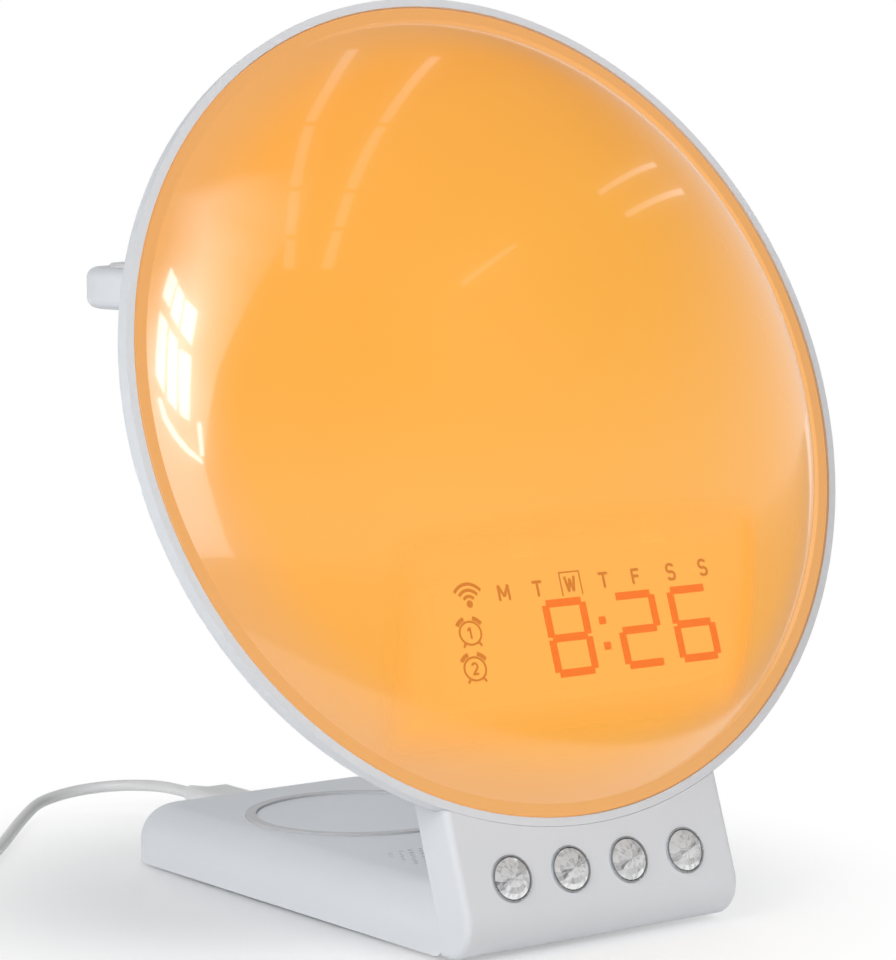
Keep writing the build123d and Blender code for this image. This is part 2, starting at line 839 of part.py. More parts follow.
with BuildPart() as rubber_feet:
    with BuildSketch():
        with Locations(*foot_spots):
            Circle(foot_radius)
    extrude(amount=foot_height)
rubber_feet.part.label = "rubber_feet"

screw_seat = Plane(origin=(0, 0, base_bottom + screw_head_height), x_dir=(1, 0, 0), z_dir=(0, 0, -1))
cover_screws = screw_set(
    [(x, -y) for x, y in boss_spots],
    screw_seat,
    cover_thickness - screw_head_height + base_boss_radius * 2 - hidden,
    "cover_screws",
)
foot_plate_screws = screw_set(
    [(x, -y) for x, y in neck_foot_spots],
    screw_seat,
    neck_foot_top - base_bottom - screw_head_height,
    "foot_plate_screws",
)

# ---------------------------------------------------------------- steel neck plate
neck_top = -neck_top_drop
window_x = window_side - neck_half_width


def lamp_point(depth, up):
    """Y and Z of a point on the lamp's middle plane, behind the lip and above its middle."""
    return (lamp_y + depth * cos(tilt) + up * sin(tilt), lamp_height - depth * sin(tilt) + up * cos(tilt))


with BuildPart() as neck_plate:
    with BuildSketch(Plane.YZ) as bent:
        with BuildLine():
            Polyline(
                lamp_point(neck_front, neck_top),
                (slope_y(neck_front, neck_foot_bottom), neck_foot_bottom),
                (neck_foot_end_y, neck_foot_bottom),
                (neck_foot_end_y, neck_foot_top),
                (slope_y(neck_back, neck_foot_top), neck_foot_top),
                lamp_point(neck_back, neck_top),
                close=True,
            )
        make_face()
        bends = bent.vertices().sort_by(Axis.X)
        fillet(bends[0], neck_bend_radius + neck_thickness)
        inner_bend = (slope_y(neck_back, neck_foot_top), neck_foot_top)
        fillet(bent.vertices().sort_by_distance(inner_bend)[0], neck_bend_radius)
    extrude(amount=neck_half_width, both=True)
    # holes for the screws into the head's posts and the foot's screws
    with BuildSketch(lamp_face.offset(-neck_front + hidden)):
        with Locations(*neck_post_spots):
            Circle(screw_radius + fit_gap)
    extrude(amount=-neck_thickness - 2 * hidden, mode=Mode.SUBTRACT)
    with BuildSketch(Plane.XY.offset(neck_foot_bottom - hidden)):
        with Locations(*neck_foot_spots):
            Circle(screw_radius)
    extrude(amount=neck_thickness + 2 * hidden, mode=Mode.SUBTRACT)
    # window in the bend for the ribbon
    with BuildSketch(Plane.XY.offset(neck_foot_top + fit_gap)):
        with Locations((window_x, slope_y(neck_back, neck_foot_top))):
            Rectangle(window_width, 2 * toe_round)
    extrude(amount=neck_bend_radius, mode=Mode.SUBTRACT)
neck_plate.part.label = "neck_plate"

# ---------------------------------------------------------------- push buttons
with BuildPart() as button_board:
    with BuildSketch(lamp_face.offset(-button_board_front)):
        with Locations((0, -button_drop)):
            Rectangle(2 * (base_half - button_board_side), button_board_height)
        with Locations(*board_post_spots):
            Circle(button_screw_radius + fit_gap, mode=Mode.SUBTRACT)
    extrude(amount=-button_board_thickness)
button_board.part.label = "button_board"

button_screws = screw_set(
    [(x, -y) for x, y in board_post_spots],
    Plane(origin=lamp_face.offset(-button_board_back).origin, x_dir=(1, 0, 0), z_dir=-lamp_normal),
    button_board_back - leg_inner_front,
    "button_board_screws",
    neck_screw_head,
    button_screw_radius,
    button_post_radius,
)

with BuildPart() as tact_switches:
    with BuildSketch(lamp_face.offset(-switch_front)):
        with Locations(*button_spots):
            Rectangle(switch_size, switch_size)
    extrude(amount=-switch_height)
    with BuildSketch(lamp_face.offset(-switch_front)):
        with Locations(*button_spots):
            Circle(switch_hole_radius)
    extrude(amount=-switch_hole_depth, mode=Mode.SUBTRACT)
tact_switches.part.label = "tact_switches"

with BuildPart() as button_rings:
    with BuildSketch(lamp_face.offset(-leg_setback + ring_proud)):
        with Locations(*button_spots):
            Circle(button_radius + button_gap + ring_width - ring_fit)
        with Locations(*button_spots):
            Circle(button_radius + button_gap, mode=Mode.SUBTRACT)
    extrude(amount=-ring_depth - ring_proud)
button_rings.part.label = "button_rings"

girdle_depth = leg_setback + crystal_base
buttons = []
for number, spot in enumerate(button_spots, start=1):
    with BuildPart() as crystal:
        with BuildSketch(lamp_face.offset(-girdle_depth)):
            with Locations(spot):
                RegularPolygon(button_radius, button_sides)
        extrude(amount=crystal_base + crystal_girdle)
        with BuildSketch(lamp_face.offset(-leg_setback + crystal_girdle)):
            with Locations(spot):
                RegularPolygon(button_radius, button_sides)
        extrude(amount=crystal_crown - crystal_girdle, taper=crown_taper)
    crystal.part.label = f"button_crystal_{number}"

    with BuildPart() as stem:
        with BuildSketch(lamp_face.offset(-girdle_depth)):
            with Locations(spot):
                Circle(button_radius * cos(pi / button_sides) - fit_gap)
        extrude(amount=-(stem_front - girdle_depth))
        with BuildSketch(lamp_face.offset(-stem_front)):
            with Locations(spot):
                Circle(stem_flange_radius)
        extrude(amount=-stem_flange_thickness)
        with BuildSketch(lamp_face.offset(-stem_back)):
            with Locations(spot):
                Circle(stem_pin_radius)
        extrude(amount=-(switch_front + pin_reach - stem_back))
    stem.part.label = f"button_stem_{number}"
    buttons += [crystal.part, stem.part]

# ---------------------------------------------------------------- ribbon cables
ribbon_depth = (max(button_board_front, led_board_depth) + button_board_back) / 2
board_low = -button_drop - button_board_height / 2
board_high = -button_drop + button_board_height / 2
ribbon_z = (board_bottom + board_top) / 2

with BuildPart() as head_ribbon:
    with BuildSketch(lamp_face.offset(-ribbon_depth - ribbon_thickness / 2)):
        with Locations((0, (board_high - led_board_radius) / 2)):
            Rectangle(head_ribbon_width, -led_board_radius - board_high - 2 * ribbon_end_gap)
    extrude(amount=ribbon_thickness)
head_ribbon.part.label = "head_ribbon"

with BuildPart() as base_ribbon:
    with BuildSketch(Plane.YZ.offset(window_x - ribbon_width / 2)):
        with BuildLine():
            FilletPolyline(
                lamp_point(ribbon_depth, board_low),
                (slope_y(ribbon_depth, ribbon_z), ribbon_z),
                (board_front_y, ribbon_z),
                radius=ribbon_bend,
            )
        trace(line_width=ribbon_thickness)
    extrude(amount=ribbon_width)
base_ribbon.part.label = "base_ribbon"

# ---------------------------------------------------------------- speaker
speaker_axis = Axis(origin=(0, speaker_y, 0), direction=(0, 0, 1))
speaker_section = Plane(origin=(0, speaker_y, 0), x_dir=(1, 0, 0), z_dir=(0, -1, 0))
magnet_bottom = pad_ceiling - speaker_height
magnet_top = magnet_bottom + speaker_magnet_height
cone_radius = speaker_radius - speaker_rim
cone_floor = magnet_top + speaker_cone_wall + speaker_frame_wall

with BuildPart() as speaker_frame:
    with BuildSketch(speaker_section):
        with BuildLine():
            Polyline(
                (0, magnet_top),
                (speaker_magnet_radius, magnet_top),
                (speaker_radius, pad_ceiling - speaker_frame_wall),
                (speaker_radius, pad_ceiling),
                (cone_radius, pad_ceiling),
                (cone_radius, pad_ceiling - speaker_frame_wall),
                (speaker_magnet_radius - speaker_frame_wall, magnet_top + speaker_frame_wall),
                (0, magnet_top + speaker_frame_wall),
                close=True,
            )
        make_face()
    revolve(axis=speaker_axis)
speaker_frame.part.label = "speaker_frame"

with BuildPart() as speaker_cone:
    with BuildSketch(speaker_section):
        with BuildLine():
            Polyline(
                (0, magnet_top + speaker_frame_wall),
                (speaker_voice_radius, magnet_top + speaker_frame_wall),
                (speaker_voice_radius, cone_floor),
                (cone_radius - seam_gap, pad_ceiling - speaker_frame_wall),
                (cone_radius - seam_gap, pad_ceiling - speaker_frame_wall + speaker_cone_wall),
                (speaker_voice_radius, cone_floor + speaker_cone_wall),
                (0, cone_floor + 2 * speaker_cone_wall),
                close=True,
            )
        make_face()
    revolve(axis=speaker_axis)
speaker_cone.part.label = "speaker_cone"

with BuildPart() as speaker_magnet:
    with BuildSketch(Plane.XY.offset(magnet_bottom)):
        with Locations((0, speaker_y)):
            Circle(speaker_magnet_radius)
    extrude(amount=speaker_magnet_height)
speaker_magnet.part.label = "speaker_magnet"

# ---------------------------------------------------------------- phone charger
ferrite_top = pad_ceiling - seam_gap - coil_thickness
carrier_top = ferrite_top - ferrite_thickness


def washer(centre, floor, height, outer, inner, name):
    """Flat ring or disc that stands on a height."""
    with BuildPart() as disc:
        with BuildSketch(Plane.XY.offset(floor)):
            with Locations(centre):
                Circle(outer)
                if inner:
                    Circle(inner, mode=Mode.SUBTRACT)
        extrude(amount=height)
    disc.part.label = name
    return disc.part


charge_place = (0, coil_y)
phone_coil = washer(charge_place, ferrite_top, coil_thickness, coil_radius, coil_hole_radius, "phone_coil")
phone_ferrite = washer(
    charge_place, carrier_top, ferrite_thickness, ferrite_radius, 0, "phone_coil_ferrite"
)
pad_ring = washer(
    charge_place,
    pad_height - pad_ring_sunk,
    pad_ring_sunk + pad_ring_proud,
    pad_ring_radius - fit_gap,
    pad_ring_radius - pad_ring_width + fit_gap,
    "anti_slip_ring",
)

carrier_leg_x = board_half_width - carrier_leg_side
carrier_leg_spots = [
    (side * carrier_leg_x, coil_y + end * carrier_leg_y) for side in (-1, 1) for end in (-1, 1)
]
with BuildPart() as coil_carrier:
    with BuildSketch(Plane.XY.offset(carrier_top - carrier_thickness)):
        with Locations(charge_place):
            RectangleRounded(carrier_size, carrier_size, carrier_leg_radius)
    extrude(amount=carrier_thickness)
    with BuildSketch(Plane.XY.offset(board_top)):
        with Locations(*carrier_leg_spots):
            Circle(carrier_leg_radius)
    extrude(amount=carrier_top - carrier_thickness - board_top)
coil_carrier.part.label = "coil_carrier"

# ---------------------------------------------------------------- main board
with BuildPart() as main_board:
    with BuildSketch(Plane.XY.offset(board_bottom)):
        with Locations((0, board_middle_y)):
            Rectangle(2 * board_half_width, 2 * board_half_length)
        with Locations(*post_spots):
            Circle(screw_radius + fit_gap, mode=Mode.SUBTRACT)
    extrude(amount=board_thickness)
main_board.part.label = "main_board"

board_screws = screw_set(
    post_spots, Plane.XY.offset(board_top), board_thickness + board_lift, "board_screws"
)

with BuildPart() as board_parts:
    for chip_share, chip_y, chip_width, chip_length, chip_height in chip_table:
        with BuildSketch(Plane.XY.offset(board_top)):
            with Locations((chip_share * board_half_width, chip_y)):
                Rectangle(chip_width, chip_length)
        extrude(amount=chip_height)
board_parts.part.label = "board_parts"

cell_x = cell_side - board_half_width
cell_y = board_rear_y - cell_radius - cell_inset
with BuildPart() as cell_holder:
    with BuildSketch(Plane.XY.offset(board_top)):
        with Locations((cell_x, cell_y)):
            Circle(cell_radius + cell_wall)
    extrude(amount=cell_wall + cell_thickness / 2)
    with BuildSketch(Plane.XY.offset(board_top + cell_wall)):
        with Locations((cell_x, cell_y)):
            Circle(cell_radius + fit_gap)
    extrude(amount=cell_thickness, mode=Mode.SUBTRACT)
cell_holder.part.label = "cell_holder"
backup_cell = washer((cell_x, cell_y), board_top + cell_wall, cell_thickness, cell_radius, 0, "backup_cell")

socket_mouth_y = rear_y - pad_wall / 2
socket_plane = Plane.XZ.offset(-socket_mouth_y)
with BuildPart() as power_socket:
    with BuildSketch(socket_plane):
        with Locations((0, socket_z)):
            SlotOverall(socket_width, socket_height)
    extrude(amount=socket_length)
    with BuildSketch(socket_plane):
        with Locations((0, socket_z)):
            SlotOverall(socket_width - 2 * socket_wall, socket_height - 2 * socket_wall)
    extrude(amount=socket_length - socket_wall, mode=Mode.SUBTRACT)
power_socket.part.label = "power_socket"

# ================================================================ watch arm
lid_bottom = arm_bottom_z + arm_height - arm_lid_thickness
arm_top = arm_bottom_z + arm_height


def arm_outline(inset, start_y, height):
    """Plan of the arm: a straight neck and a round head."""
    with BuildSketch(Plane.XY.offset(height)) as outline:
        with Locations((arm_x, (start_y + arm_head_y) / 2)):
            Rectangle(arm_width - 2 * inset, arm_head_y - start_y)
        with Locations((arm_x, arm_head_y)):
            Circle(arm_head_radius - inset)
        shoulders = [corner for corner in outline.vertices() if corner.Y > arm_head_y - arm_head_radius]
        fillet(shoulders, arm_blend + inset)
    return outline.sketch


arm_root_y = lamp_point(head_depth, -slope_drop(head_depth, arm_bottom_z))[0]
arm_hollow_y = lamp_point(head_depth, -slope_drop(head_depth, arm_top))[0] + arm_root_length
arm_floor = arm_bottom_z + arm_wall
watch_ferrite_z = lid_bottom - watch_coil_thickness - watch_ferrite_thickness
puck_seat = arm_top - puck_depth
arm_middle = (arm_x, arm_head_y)

with BuildPart() as arm_block:
    extrude(arm_outline(0, lamp_y, arm_bottom_z), amount=arm_height)
    rims = arm_block.faces().filter_by(Axis.Z).edges()
    fillet([edge for edge in rims if edge.center().Y > lamp_y + hidden], arm_round)
    add(head_form, mode=Mode.SUBTRACT)
    # keep only what stands behind the head
    with BuildSketch(Plane.XY.offset(arm_bottom_z - hidden)):
        with Locations((arm_x, arm_root_y - lamp_radius / 2)):
            Rectangle(2 * arm_head_radius, lamp_radius)
    extrude(amount=arm_height + 2 * hidden, mode=Mode.SUBTRACT)

with BuildPart() as arm_tray:
    add(arm_block)
    split(bisect_by=Plane.XY.offset(lid_bottom), keep=Keep.BOTTOM)
    extrude(
        arm_outline(arm_wall, arm_hollow_y, arm_floor),
        amount=lid_bottom - arm_floor + hidden,
        mode=Mode.SUBTRACT,
    )
    # ring post under the charging coil
    with BuildSketch(Plane.XY.offset(arm_floor - hidden)):
        with Locations(arm_middle):
            Circle(watch_post_radius)
            Circle(watch_post_hole, mode=Mode.SUBTRACT)
    extrude(amount=watch_ferrite_z - arm_floor + hidden)
    # pilot holes of the screws that hold the arm to the head
    with BuildSketch(lamp_face.offset(-head_depth + hidden)):
        with Locations(*arm_screw_spots):
            Circle(screw_radius)
    extrude(amount=-arm_screw_bite - hidden, mode=Mode.SUBTRACT)
arm_tray.part.label = "arm_tray"

with BuildPart() as arm_lid:
    add(arm_block)
    split(bisect_by=Plane.XY.offset(lid_bottom), keep=Keep.TOP)
    with BuildSketch(Plane.XY.offset(puck_seat)):
        with Locations(arm_middle):
            Circle(puck_radius + fit_gap)
    extrude(amount=puck_depth + hidden, mode=Mode.SUBTRACT)
arm_lid.part.label = "arm_lid"

arm_screws = screw_set(
    arm_screw_spots, lamp_face.offset(-post_floor), housing_wall + arm_screw_bite, "arm_screws"
)

puck_axis = Axis(origin=(arm_x, arm_head_y, 0), direction=(0, 0, 1))
puck_section = Plane(origin=(arm_x, arm_head_y, 0), x_dir=(1, 0, 0), z_dir=(0, -1, 0))
puck_top = arm_top + puck_proud
dish_edge = puck_radius - puck_dish
dish_sphere = (dish_edge**2 + puck_dish**2) / (2 * puck_dish)
dish_middle = puck_top - puck_dish + dish_sphere - sqrt(dish_sphere**2 - dish_edge**2 / 4)
with BuildPart() as watch_puck:
    with BuildSketch(puck_section):
        with BuildLine():
            Polyline(
                (0, puck_top - puck_dish),
                (0, puck_seat),
                (puck_radius, puck_seat),
                (puck_radius, puck_top - puck_dish),
                (dish_edge, puck_top),
            )
            ThreePointArc((dish_edge, puck_top), (dish_edge / 2, dish_middle), (0, puck_top - puck_dish))
        make_face()
    revolve(axis=puck_axis)
watch_puck.part.label = "watch_puck"

watch_coil = washer(
    arm_middle,
    lid_bottom - watch_coil_thickness,
    watch_coil_thickness,
    watch_coil_radius,
    watch_coil_hole,
    "watch_coil",
)
watch_ferrite = washer(
    arm_middle,
    watch_ferrite_z,
    watch_ferrite_thickness,
    watch_coil_radius,
    watch_magnet_radius + seam_gap,
    "watch_coil_ferrite",
)
watch_magnet = washer(
    arm_middle,
    watch_ferrite_z,
    watch_ferrite_thickness + watch_coil_thickness,
    watch_magnet_radius,
    0,
    "watch_magnet",
)

# ================================================================ power lead
plug_face_y = rear_y + seam_gap
relief_y = plug_face_y + plug_length
cord_start_y = relief_y + relief_length

with BuildPart() as inlet_plug:
    with BuildSketch(Plane.XZ.offset(-plug_face_y)):
        with Locations((0, socket_z)):
            RectangleRounded(plug_width, plug_height, plug_height / 3)
    extrude(amount=-plug_length)
    with BuildSketch(Plane.XZ.offset(-relief_y)):
        with Locations((0, socket_z)):
            Circle(plug_height / 2 - seam_gap)
    with BuildSketch(Plane.XZ.offset(-cord_start_y)):
        with Locations((0, socket_z)):
            Circle(relief_tip_radius)
    loft()
inlet_plug.part.label = "inlet_plug"

with BuildPart() as inlet_plug_tip:
    with BuildSketch(Plane.XZ.offset(-plug_face_y)):
        with Locations((0, socket_z)):
            SlotOverall(plug_tip_width, plug_tip_height)
    extrude(amount=plug_tip_length)
inlet_plug_tip.part.label = "inlet_plug_tip"

# the lead leaves the plug, swings round behind the clock and comes down on to the table
tube_height = cord_radius + coil_inset
outer_turn = coil_turn_radius + (coil_columns - 1) * cord_radius - coil_inset
coil_outer = coil_turn_radius + coil_columns * cord_radius
coil_inner = coil_turn_radius - coil_columns * cord_radius
coil_height = 2 * coil_layers * cord_radius
join_direction = (cos(radians(join_heading)), sin(radians(join_heading)))
join_point = (
    coil_place[0] - outer_turn * join_direction[1],
    coil_place[1] + outer_turn * join_direction[0],
)
stub_length = sqrt((coil_outer + cord_radius) ** 2 - outer_turn**2) + seam_gap
tube_end = (
    join_point[0] - stub_length * join_direction[0],
    join_point[1] - stub_length * join_direction[1],
    tube_height,
)
last_turn = (
    tube_end[0] - last_run * join_direction[0],
    tube_end[1] - last_run * join_direction[1],
    tube_height,
)
cord_points = [
    (0.0, cord_start_y, socket_z),
    (0.0, cord_start_y + first_run, socket_z),
    (-0.9, 115.6, 6.6),
    (-6.2, 124.4, 5.9),
    (-15.6, 128.8, 4.9),
    (-25.9, 127.4, 3.6),
    (-33.3, 120.5, 2.4),
    (-43.2, 109.0, 1.7),
    (-54.2, 94.6, tube_height),
    last_turn,
    tube_end,
]


def bend_radii(points):
    """Arc radius at each inner point, from the shorter run and the turn there."""
    radii = []
    for before, here, after in zip(points, points[1:], points[2:]):
        run_in = Vector(*here) - Vector(*before)
        run_out = Vector(*after) - Vector(*here)
        turn = radians(run_in.get_angle(run_out))
        radii.append(bend_share * min(run_in.length, run_out.length) / tan(turn / 2))
    return radii


cord_radii = bend_radii(cord_points)
with BuildPart() as power_cord:
    with BuildLine() as cord_path:
        FilletPolyline(*cord_points, radius=cord_radii)
    with BuildSketch(Plane(origin=cord_points[0], x_dir=(1, 0, 0), z_dir=(0, 1, 0))):
        Circle(cord_radius)
    sweep()
power_cord.part.label = "power_cord"
cord_run = sum(edge.length for edge in cord_path.edges())
coil_run = 2 * pi * coil_turn_radius * coil_turns
print("cord radii", [round(radius, 1) for radius in cord_radii])
print("cord volume", power_cord.part.volume, "section by length", pi * cord_radius**2 * cord_run)
print("lead length", cord_run + coil_run + 2 * stub_length)

far_stub_height = far_plug_height / 2
far_plug_x = coil_place[0] - outer_turn
far_reach = sqrt((coil_outer + seam_gap) ** 2 - (outer_turn - far_plug_width / 2) ** 2)
far_plug_y = coil_place[1] + far_reach + seam_gap

with BuildPart() as tie:
    with BuildSketch(Plane.XY):
        with Locations((coil_place[0], coil_place[1] + coil_turn_radius)):
            Rectangle(tie_width, coil_outer - coil_inner + 2 * tie_thickness)
    extrude(amount=coil_height + tie_thickness)
    with BuildSketch(Plane.XY.offset(tie_thickness)):
        with Locations((coil_place[0], coil_place[1] + coil_turn_radius)):
            Rectangle(tie_width, coil_outer - coil_inner)
    extrude(amount=coil_height - tie_thickness, mode=Mode.SUBTRACT)
tie.part.label = "coil_tie"

with BuildPart() as cord_coil:
    with BuildSketch():
        with Locations(coil_place):
            Circle(coil_outer)
            Circle(coil_inner, mode=Mode.SUBTRACT)
    extrude(amount=coil_height)
    # the turn that comes in from the tube, and the turn that leaves for the far plug
    with BuildSketch(Plane(origin=tube_end, x_dir=(0, 0, 1), z_dir=(*join_direction, 0))):
        Circle(cord_radius)
    extrude(amount=stub_length)
    with BuildSketch(Plane.XZ.offset(-far_plug_y)):
        with Locations((far_plug_x, far_stub_height)):
            Circle(cord_radius)
    extrude(amount=far_plug_y - coil_place[1])
    # pinched where the tie goes round
    add(tie, mode=Mode.SUBTRACT)
cord_coil.part.label = "cord_coil"

with BuildPart() as far_plug:
    with BuildSketch(Plane.XZ.offset(-far_plug_y)):
        with Locations((far_plug_x, far_stub_height)):
            RectangleRounded(far_plug_width, far_plug_height, far_plug_height / 4)
    extrude(amount=-far_plug_length)
far_plug.part.label = "far_plug"

with BuildPart() as far_plug_shell:
    with BuildSketch(Plane.XZ.offset(-far_plug_y - far_plug_length)):
        with Locations((far_plug_x, far_stub_height)):
            Rectangle(far_shell_width, far_shell_height)
            Rectangle(
                far_shell_width - 2 * far_shell_wall,
                far_shell_height - 2 * far_shell_wall,
                mode=Mode.SUBTRACT,
            )
    extrude(amount=-far_shell_length)
far_plug_shell.part.label = "far_plug_shell"

# ================================================================ hand-over
pieces = [
    rear_housing.part,
    front_diffuser.part,
    reflector_tray.part,
    led_board.part,
    led_chips.part,
    led_screws,
    display_shroud.part,
    display_segments.part,
    display_board.part,
    neck_plate.part,
    neck_screws,
    head_ribbon.part,
    base_shell.part,
    bottom_cover.part,
    cover_screws,
    foot_plate_screws,
    rubber_feet.part,
    pad_ring,
    phone_coil,
    phone_ferrite,
    coil_carrier.part,
    main_board.part,
    board_screws,
    board_parts.part,
    cell_holder.part,
    backup_cell,
    power_socket.part,
    base_ribbon.part,
    speaker_frame.part,
    speaker_cone.part,
    speaker_magnet.part,
    button_board.part,
    button_screws,
    tact_switches.part,
    button_rings.part,
    *buttons,
    arm_tray.part,
    arm_lid.part,
    arm_screws,
    watch_puck.part,
    watch_coil,
    watch_ferrite,
    watch_magnet,
    inlet_plug.part,
    inlet_plug_tip.part,
    power_cord.part,
    cord_coil.part,
    tie.part,
    far_plug.part,
    far_plug_shell.part,
]
for piece in pieces:
    export_step(piece, f"parts/{piece.label}.step")
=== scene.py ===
from math import cos, pi, radians, sin, sqrt

import bpy
import numpy as np
from mathutils import Matrix, Vector


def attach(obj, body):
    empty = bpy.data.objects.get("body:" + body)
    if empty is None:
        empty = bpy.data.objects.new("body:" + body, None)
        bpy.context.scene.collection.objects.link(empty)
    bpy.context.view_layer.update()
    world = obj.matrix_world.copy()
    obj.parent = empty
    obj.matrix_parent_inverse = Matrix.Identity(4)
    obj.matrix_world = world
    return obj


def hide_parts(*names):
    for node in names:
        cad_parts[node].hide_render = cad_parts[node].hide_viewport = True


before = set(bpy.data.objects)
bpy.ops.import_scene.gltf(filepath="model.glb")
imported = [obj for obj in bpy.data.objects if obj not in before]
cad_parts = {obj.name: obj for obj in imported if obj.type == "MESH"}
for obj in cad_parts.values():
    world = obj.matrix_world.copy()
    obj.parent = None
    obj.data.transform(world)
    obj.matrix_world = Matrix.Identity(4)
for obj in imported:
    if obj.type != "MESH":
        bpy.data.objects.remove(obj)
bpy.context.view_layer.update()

scene = bpy.context.scene
scene.view_settings.view_transform = "Standard"

# ---------------------------------------------------------------- camera
# It stands to the left of the lit face, three quarters of a metre off, level with the lamp's upper
# half, and looks a little down on it.
camera_data = bpy.data.cameras.new("camera")
camera = bpy.data.objects.new("camera", camera_data)
scene.collection.objects.link(camera)
camera_place = (-0.438127, -0.614975, 0.167169)
look = Vector((0.58419, 0.80554, -0.09915)).normalized()
level = Vector((look.y, -look.x, 0)).normalized()
rise = level.cross(look)
roll = radians(-0.4)
camera_right = level * cos(roll) + rise * sin(roll)
camera_up = rise * cos(roll) - level * sin(roll)
camera.matrix_world = Matrix.Translation(camera_place) @ Matrix(
    (camera_right, camera_up, -look)
).transposed().to_4x4()
camera_data.sensor_fit = "VERTICAL"
camera_data.sensor_height = 36
camera_data.lens = 129.16
camera_data.clip_start = 0.02
scene.camera = camera

# ---------------------------------------------------------------- power lead
# A thin round lead for five volts in a soft white jacket. It leaves the socket at the back, swings
# round behind the clock on to the table, and its spare length is wound into a tied coil.
coil_middle = (-0.094, 0.0847)
lead_route = [
    (0.0, 0.0977, 0.0072),
    (0.0, 0.1065, 0.0072),
    (-0.0009, 0.1156, 0.0066),
    (-0.0062, 0.1244, 0.0059),
    (-0.0156, 0.1288, 0.0049),
    (-0.0259, 0.1274, 0.0036),
    (-0.0333, 0.1205, 0.0024),
    (-0.0432, 0.1090, 0.0017),
    (-0.0542, 0.0946, 0.0016),
    (-0.06336, 0.08426, 0.0016),
]


def wound_turns(start_angle, turns, start_radius, pitch, height):
    """One flat layer of the coil: the angle falls steadily, the radius changes by the pitch each turn."""
    count = int(turns * 14)
    angle = start_angle - 2 * pi * turns * np.linspace(0, 1, count + 1)
    radius = start_radius + pitch * turns * np.linspace(0, 1, count + 1)
    x = coil_middle[0] + radius * np.cos(angle)
    y = coil_middle[1] + radius * np.sin(angle)
    return np.column_stack([x, y, np.full(count + 1, height)])


lead_radius = 0.0014
layer_turns = 4.16
turn_pitch = 0.00282
outer_turn = 0.0223
join_angle = radians(-44.4)
low_layer = wound_turns(join_angle, layer_turns, outer_turn, -turn_pitch, lead_radius)
climb_angle = join_angle - 2 * pi * (layer_turns + 0.06)
leave_angle = pi - 9 * 2 * pi  # the left side of the coil, nine turns on
high_turns = (climb_angle - leave_angle) / (2 * pi)
inner_turn = outer_turn - turn_pitch * layer_turns
high_growth = 0.0118
high_layer = wound_turns(climb_angle, high_turns, inner_turn, high_growth / high_turns, 3 * lead_radius)
lead_out = [(-0.1162, 0.0905, 0.0042), (-0.1162, 0.0970, 0.0041), (-0.1162, 0.10425, 0.0040)]
coil_points = [tuple(p) for p in low_layer] + [tuple(p) for p in high_layer[:-1]]
lead_points = np.array(lead_route + coil_points + lead_out)

lead_curve = bpy.data.curves.new("power_lead", "CURVE")
lead_curve.dimensions = "3D"
lead_curve.bevel_depth = 1.0
lead_curve.bevel_resolution = 5
lead_curve.resolution_u = 8
lead_curve.use_fill_caps = True
lead_line = lead_curve.splines.new("NURBS")
lead_line.points.add(len(lead_points) - 1)
lead_line.points.foreach_set("co", np.column_stack([lead_points, np.ones(len(lead_points))]).ravel())
lead_line.points.foreach_set("radius", np.full(len(lead_points), lead_radius))
lead_line.order_u = 3
lead_line.use_endpoint_u = True
power_lead = bpy.data.objects.new("power_lead", lead_curve)
scene.collection.objects.link(power_lead)
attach(power_lead, "clock")
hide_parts("power_cord", "cord_coil")


